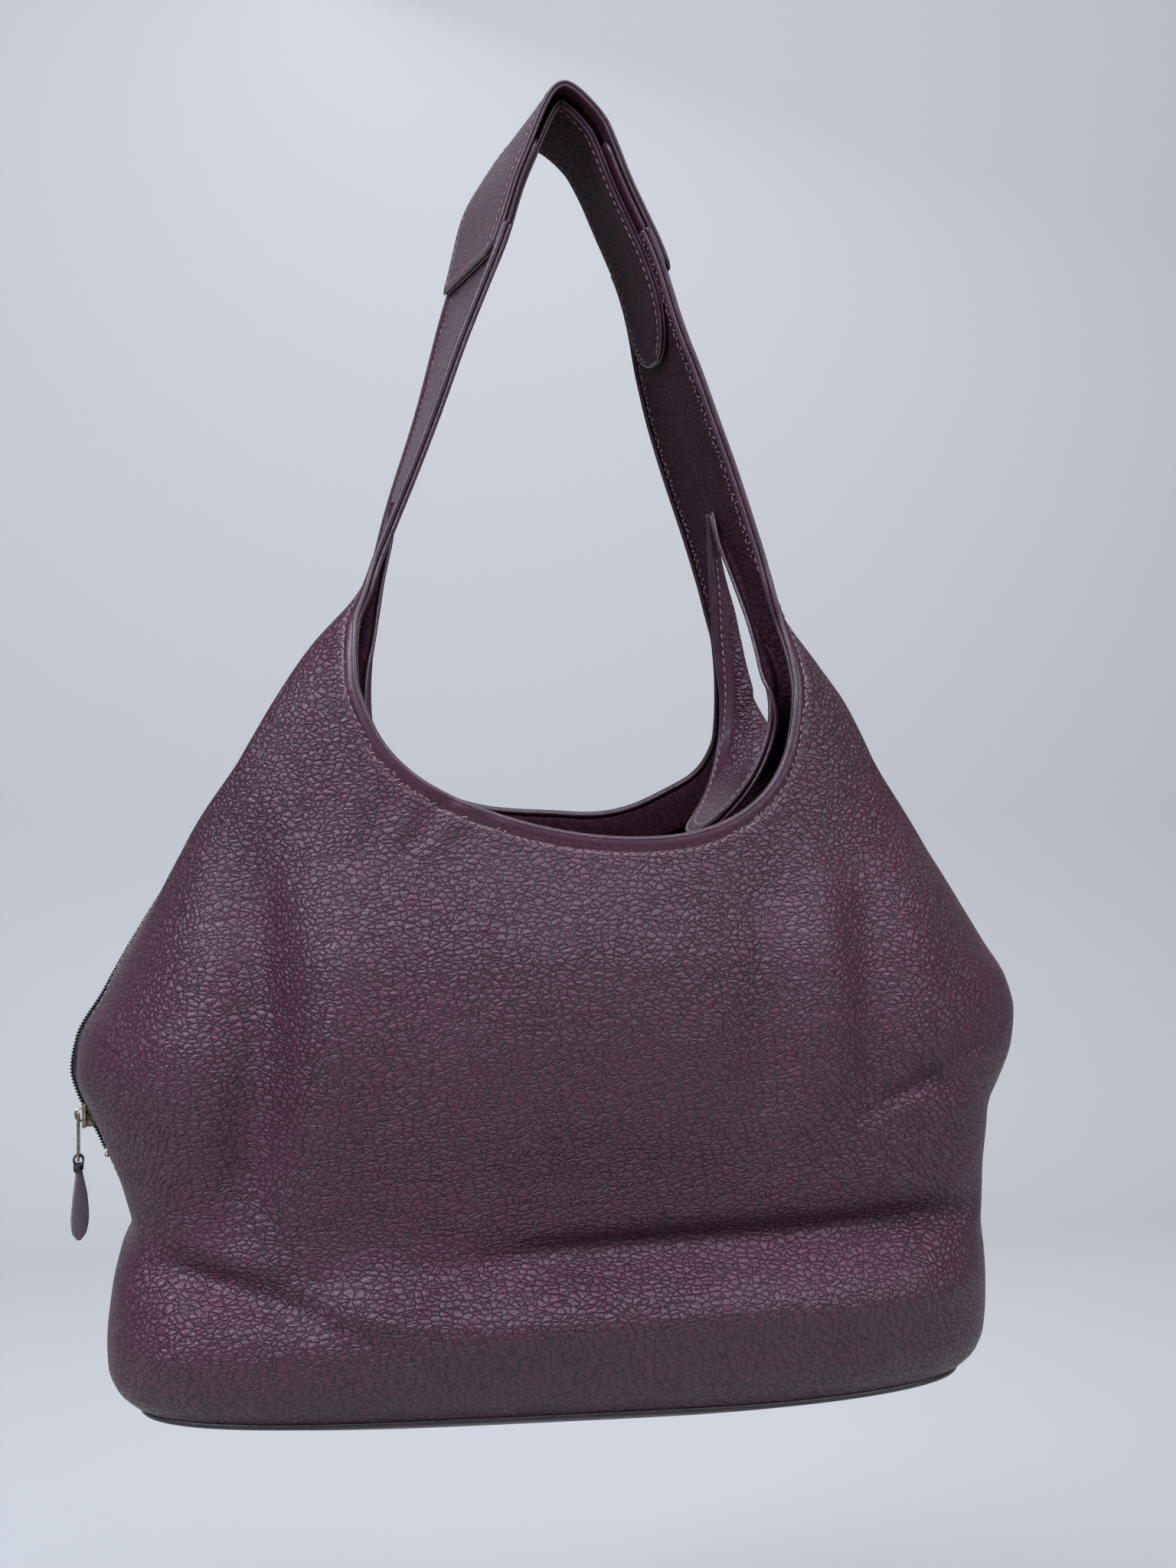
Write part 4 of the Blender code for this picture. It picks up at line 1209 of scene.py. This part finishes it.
for name, sign in (("front", -1), ("back", 1)):
    half = HALVES[name]
    ids = half.lines["left"]
    heights = half.points[ids][:, 2]
    line, normals = tidy_line(half, ids[(heights > 104) & (heights < 297)], 160)
    roll = build(f"zip_edge_roll_{name}", *tube(line - normals, 1.15, sides=8), [EDGE])
    riding(roll, "bag", "turned_edge")
    seat, facing = seated(half.tree, line + sign * ACROSS * 3.4)
    stitches = joined(stitch_line(seat, facing, pitch=3.4, length=2.5))
    riding(build(f"zip_stitches_{name}", *stitches, [THREAD]), "bag", "turned_edge")

# The zip's pull: a thong knotted through the bar's hole, and a suede leaf

low, high = (np.array(corner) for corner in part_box("zip_pull_leaf"))
knot_low, knot_high = (np.array(corner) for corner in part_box("zip_pull_knot"))
leaf_top = np.array([(low[0] + high[0]) / 2, 0.0, high[2]]) * 1000 + UP * HANG
knot_top = np.array([(knot_low[0] + knot_high[0]) / 2, 0.0, knot_high[2]]) * 1000 + UP * HANG


def ribbon(path, widths, across, thickness):
    """A flat strip along a path, with its width across and rounded long edges."""
    path = np.array(path, float)
    ahead = unit(np.gradient(path, axis=0))
    wide = unit(np.array(across) - (np.array(across) * ahead).sum(1)[:, None] * ahead)
    thick = np.cross(ahead, wide)
    turn = np.linspace(0, 2 * math.pi, 16, endpoint=False)[None, :, None]
    flat = np.sign(np.cos(turn)) * np.abs(np.cos(turn)) ** 0.55
    deep = np.sign(np.sin(turn)) * np.abs(np.sin(turn)) ** 0.7
    ring = wide[:, None] * flat * widths[:, None, None] + thick[:, None] * deep * thickness / 2
    return capped(path[:, None] + ring)


loop = [
    knot_top + np.array([2.1 * math.sin(t), 0.6 * math.sin(2 * t), -2.5 + 2.4 * math.cos(t)])
    for t in np.linspace(0, 2 * math.pi, 29)
]
wrap = [
    knot_top + np.array([1.9 * math.cos(t * 1.6), 2.3 * math.sin(t * 1.6), -4.6 - 0.32 * t])
    for t in np.linspace(0, 6.6, 34)
]
tail = [knot_top + np.array([0.3, 1.6 + 0.5 * k, -5.5 - 1.2 * k]) for k in np.linspace(0, 3.0, 7)]
thong = joined([
    ribbon(loop, np.full(29, 1.25), (0, 1, 0.2), 0.9),
    ribbon(wrap, np.full(34, 1.0), (0, 0, 1), 0.85),
    ribbon(tail, np.linspace(1.3, 0.7, 7), (1, 0, 0), 0.8),
])
riding(build("zip_pull_thong", *thong, [DARK_EDGE]), "pull_leaf", "edge_paint", "zip_pull_knot")
leaf_length = (high[2] - low[2]) * 1000
shares = np.linspace(0, 1, 34)
leaf_wide = through([(0, 1.3), (0.12, 1.9), (0.45, 3.9), (0.72, 4.6), (0.9, 3.7), (1.0, 0.9)])
leaf_path = [
    leaf_top + np.array([0.7 * math.sin(3 * t), 0.25 * math.sin(5 * t), 1.6 * (1 - t) - leaf_length * t])
    for t in shares
]
leaf = build("zip_pull_leaf_suede", *ribbon(leaf_path, leaf_wide(shares), (0.8, 0.6, 0), 1.7), [SUEDE])
riding(leaf, "pull_leaf", "suede_side", "zip_pull_leaf")

# The slider and the puller keep their CAD shape, in brass with softened edges

for name in ("zip_slider", "zip_puller"):
    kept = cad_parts[name]
    kept.data.materials.clear()
    kept.data.materials.append(BRASS)
    bevel = kept.modifiers.new("Soft edges", "BEVEL")
    bevel.width = 0.00025
    bevel.segments = 2

# Camera, light and room

TARGET_X = 0.0155
DISTANCE = 0.884
EYE = 0.2873 - HANG * 0.001
TURN = math.radians(8)  # how far round to the bag's left the camera stands
BAG_MIDDLE = (0, 0, -0.35)

camera = bpy.data.objects.new("camera", bpy.data.cameras.new("camera"))
bpy.context.collection.objects.link(camera)
camera.location = (TARGET_X - DISTANCE * math.sin(TURN), -DISTANCE * math.cos(TURN), EYE)
camera.rotation_euler = (math.radians(90), 0, -TURN)
camera.data.sensor_fit = "VERTICAL"
camera.data.sensor_height = 36.0
camera.data.lens = 43.0
bpy.context.scene.camera = camera

FLOOR = -0.86
cove = []
for i in range(9):
    turn = math.radians(90 * i / 8)
    cove.append((1.35 + 0.5 * math.sin(turn), FLOOR + 0.5 - 0.5 * math.cos(turn)))
profile = [(-4.0, FLOOR)] + cove + [(1.85, 3.2)]
room_points = [(x, y, z) for y, z in profile for x in (-5.0, 5.0)]
room_faces = [(2 * i, 2 * i + 1, 2 * i + 3, 2 * i + 2) for i in range(len(profile) - 1)]
room_mesh = bpy.data.meshes.new("pale_room")
room_mesh.from_pydata(room_points, [], room_faces)
room_mesh.shade_smooth()
room = bpy.data.objects.new("pale_room", room_mesh)
bpy.context.collection.objects.link(room)
paint = Nodes("pale_paint")
paint.shader.inputs["Base Color"].default_value = (0.46, 0.442, 0.433, 1)
paint.shader.inputs["Roughness"].default_value = 0.95
room_mesh.materials.append(paint.material)


def softbox(name, location, aim, size, power, colour):
    light = bpy.data.lights.new(name, "AREA")
    light.shape = "RECTANGLE"
    light.size, light.size_y = size
    light.energy = power
    light.color = colour
    piece = bpy.data.objects.new(name, light)
    piece.location = location
    piece.rotation_euler = (Vector(aim) - Vector(location)).to_track_quat("-Z", "Y").to_euler()
    bpy.context.collection.objects.link(piece)


bpy.context.scene.view_settings.view_transform = "Standard"
softbox("sky", (-0.3, -1.3, 1.7), BAG_MIDDLE, (2.4, 1.4), 82, (0.78, 0.87, 1.0))
softbox("left_fill", (-1.5, -1.1, 0.9), BAG_MIDDLE, (1.0, 1.2), 58, (0.72, 0.84, 1.0))
softbox("right_fill", (1.4, -1.2, 0.7), BAG_MIDDLE, (1.2, 1.2), 33, (0.80, 0.88, 1.0))
softbox("room_light", (1.0, 0.2, 2.2), (0.9, 1.6, -0.4), (2.4, 1.2), 19, (0.93, 0.96, 1.0))
softbox("back_fill", (0.4, 1.3, 1.2), BAG_MIDDLE, (1.4, 0.9), 10, (0.90, 0.94, 1.0))
world = bpy.data.worlds.new("world")
world.use_nodes = True
world.node_tree.nodes["Background"].inputs[0].default_value = (0.86, 0.89, 0.93, 1)
world.node_tree.nodes["Background"].inputs[1].default_value = 0.07
bpy.context.scene.world = world
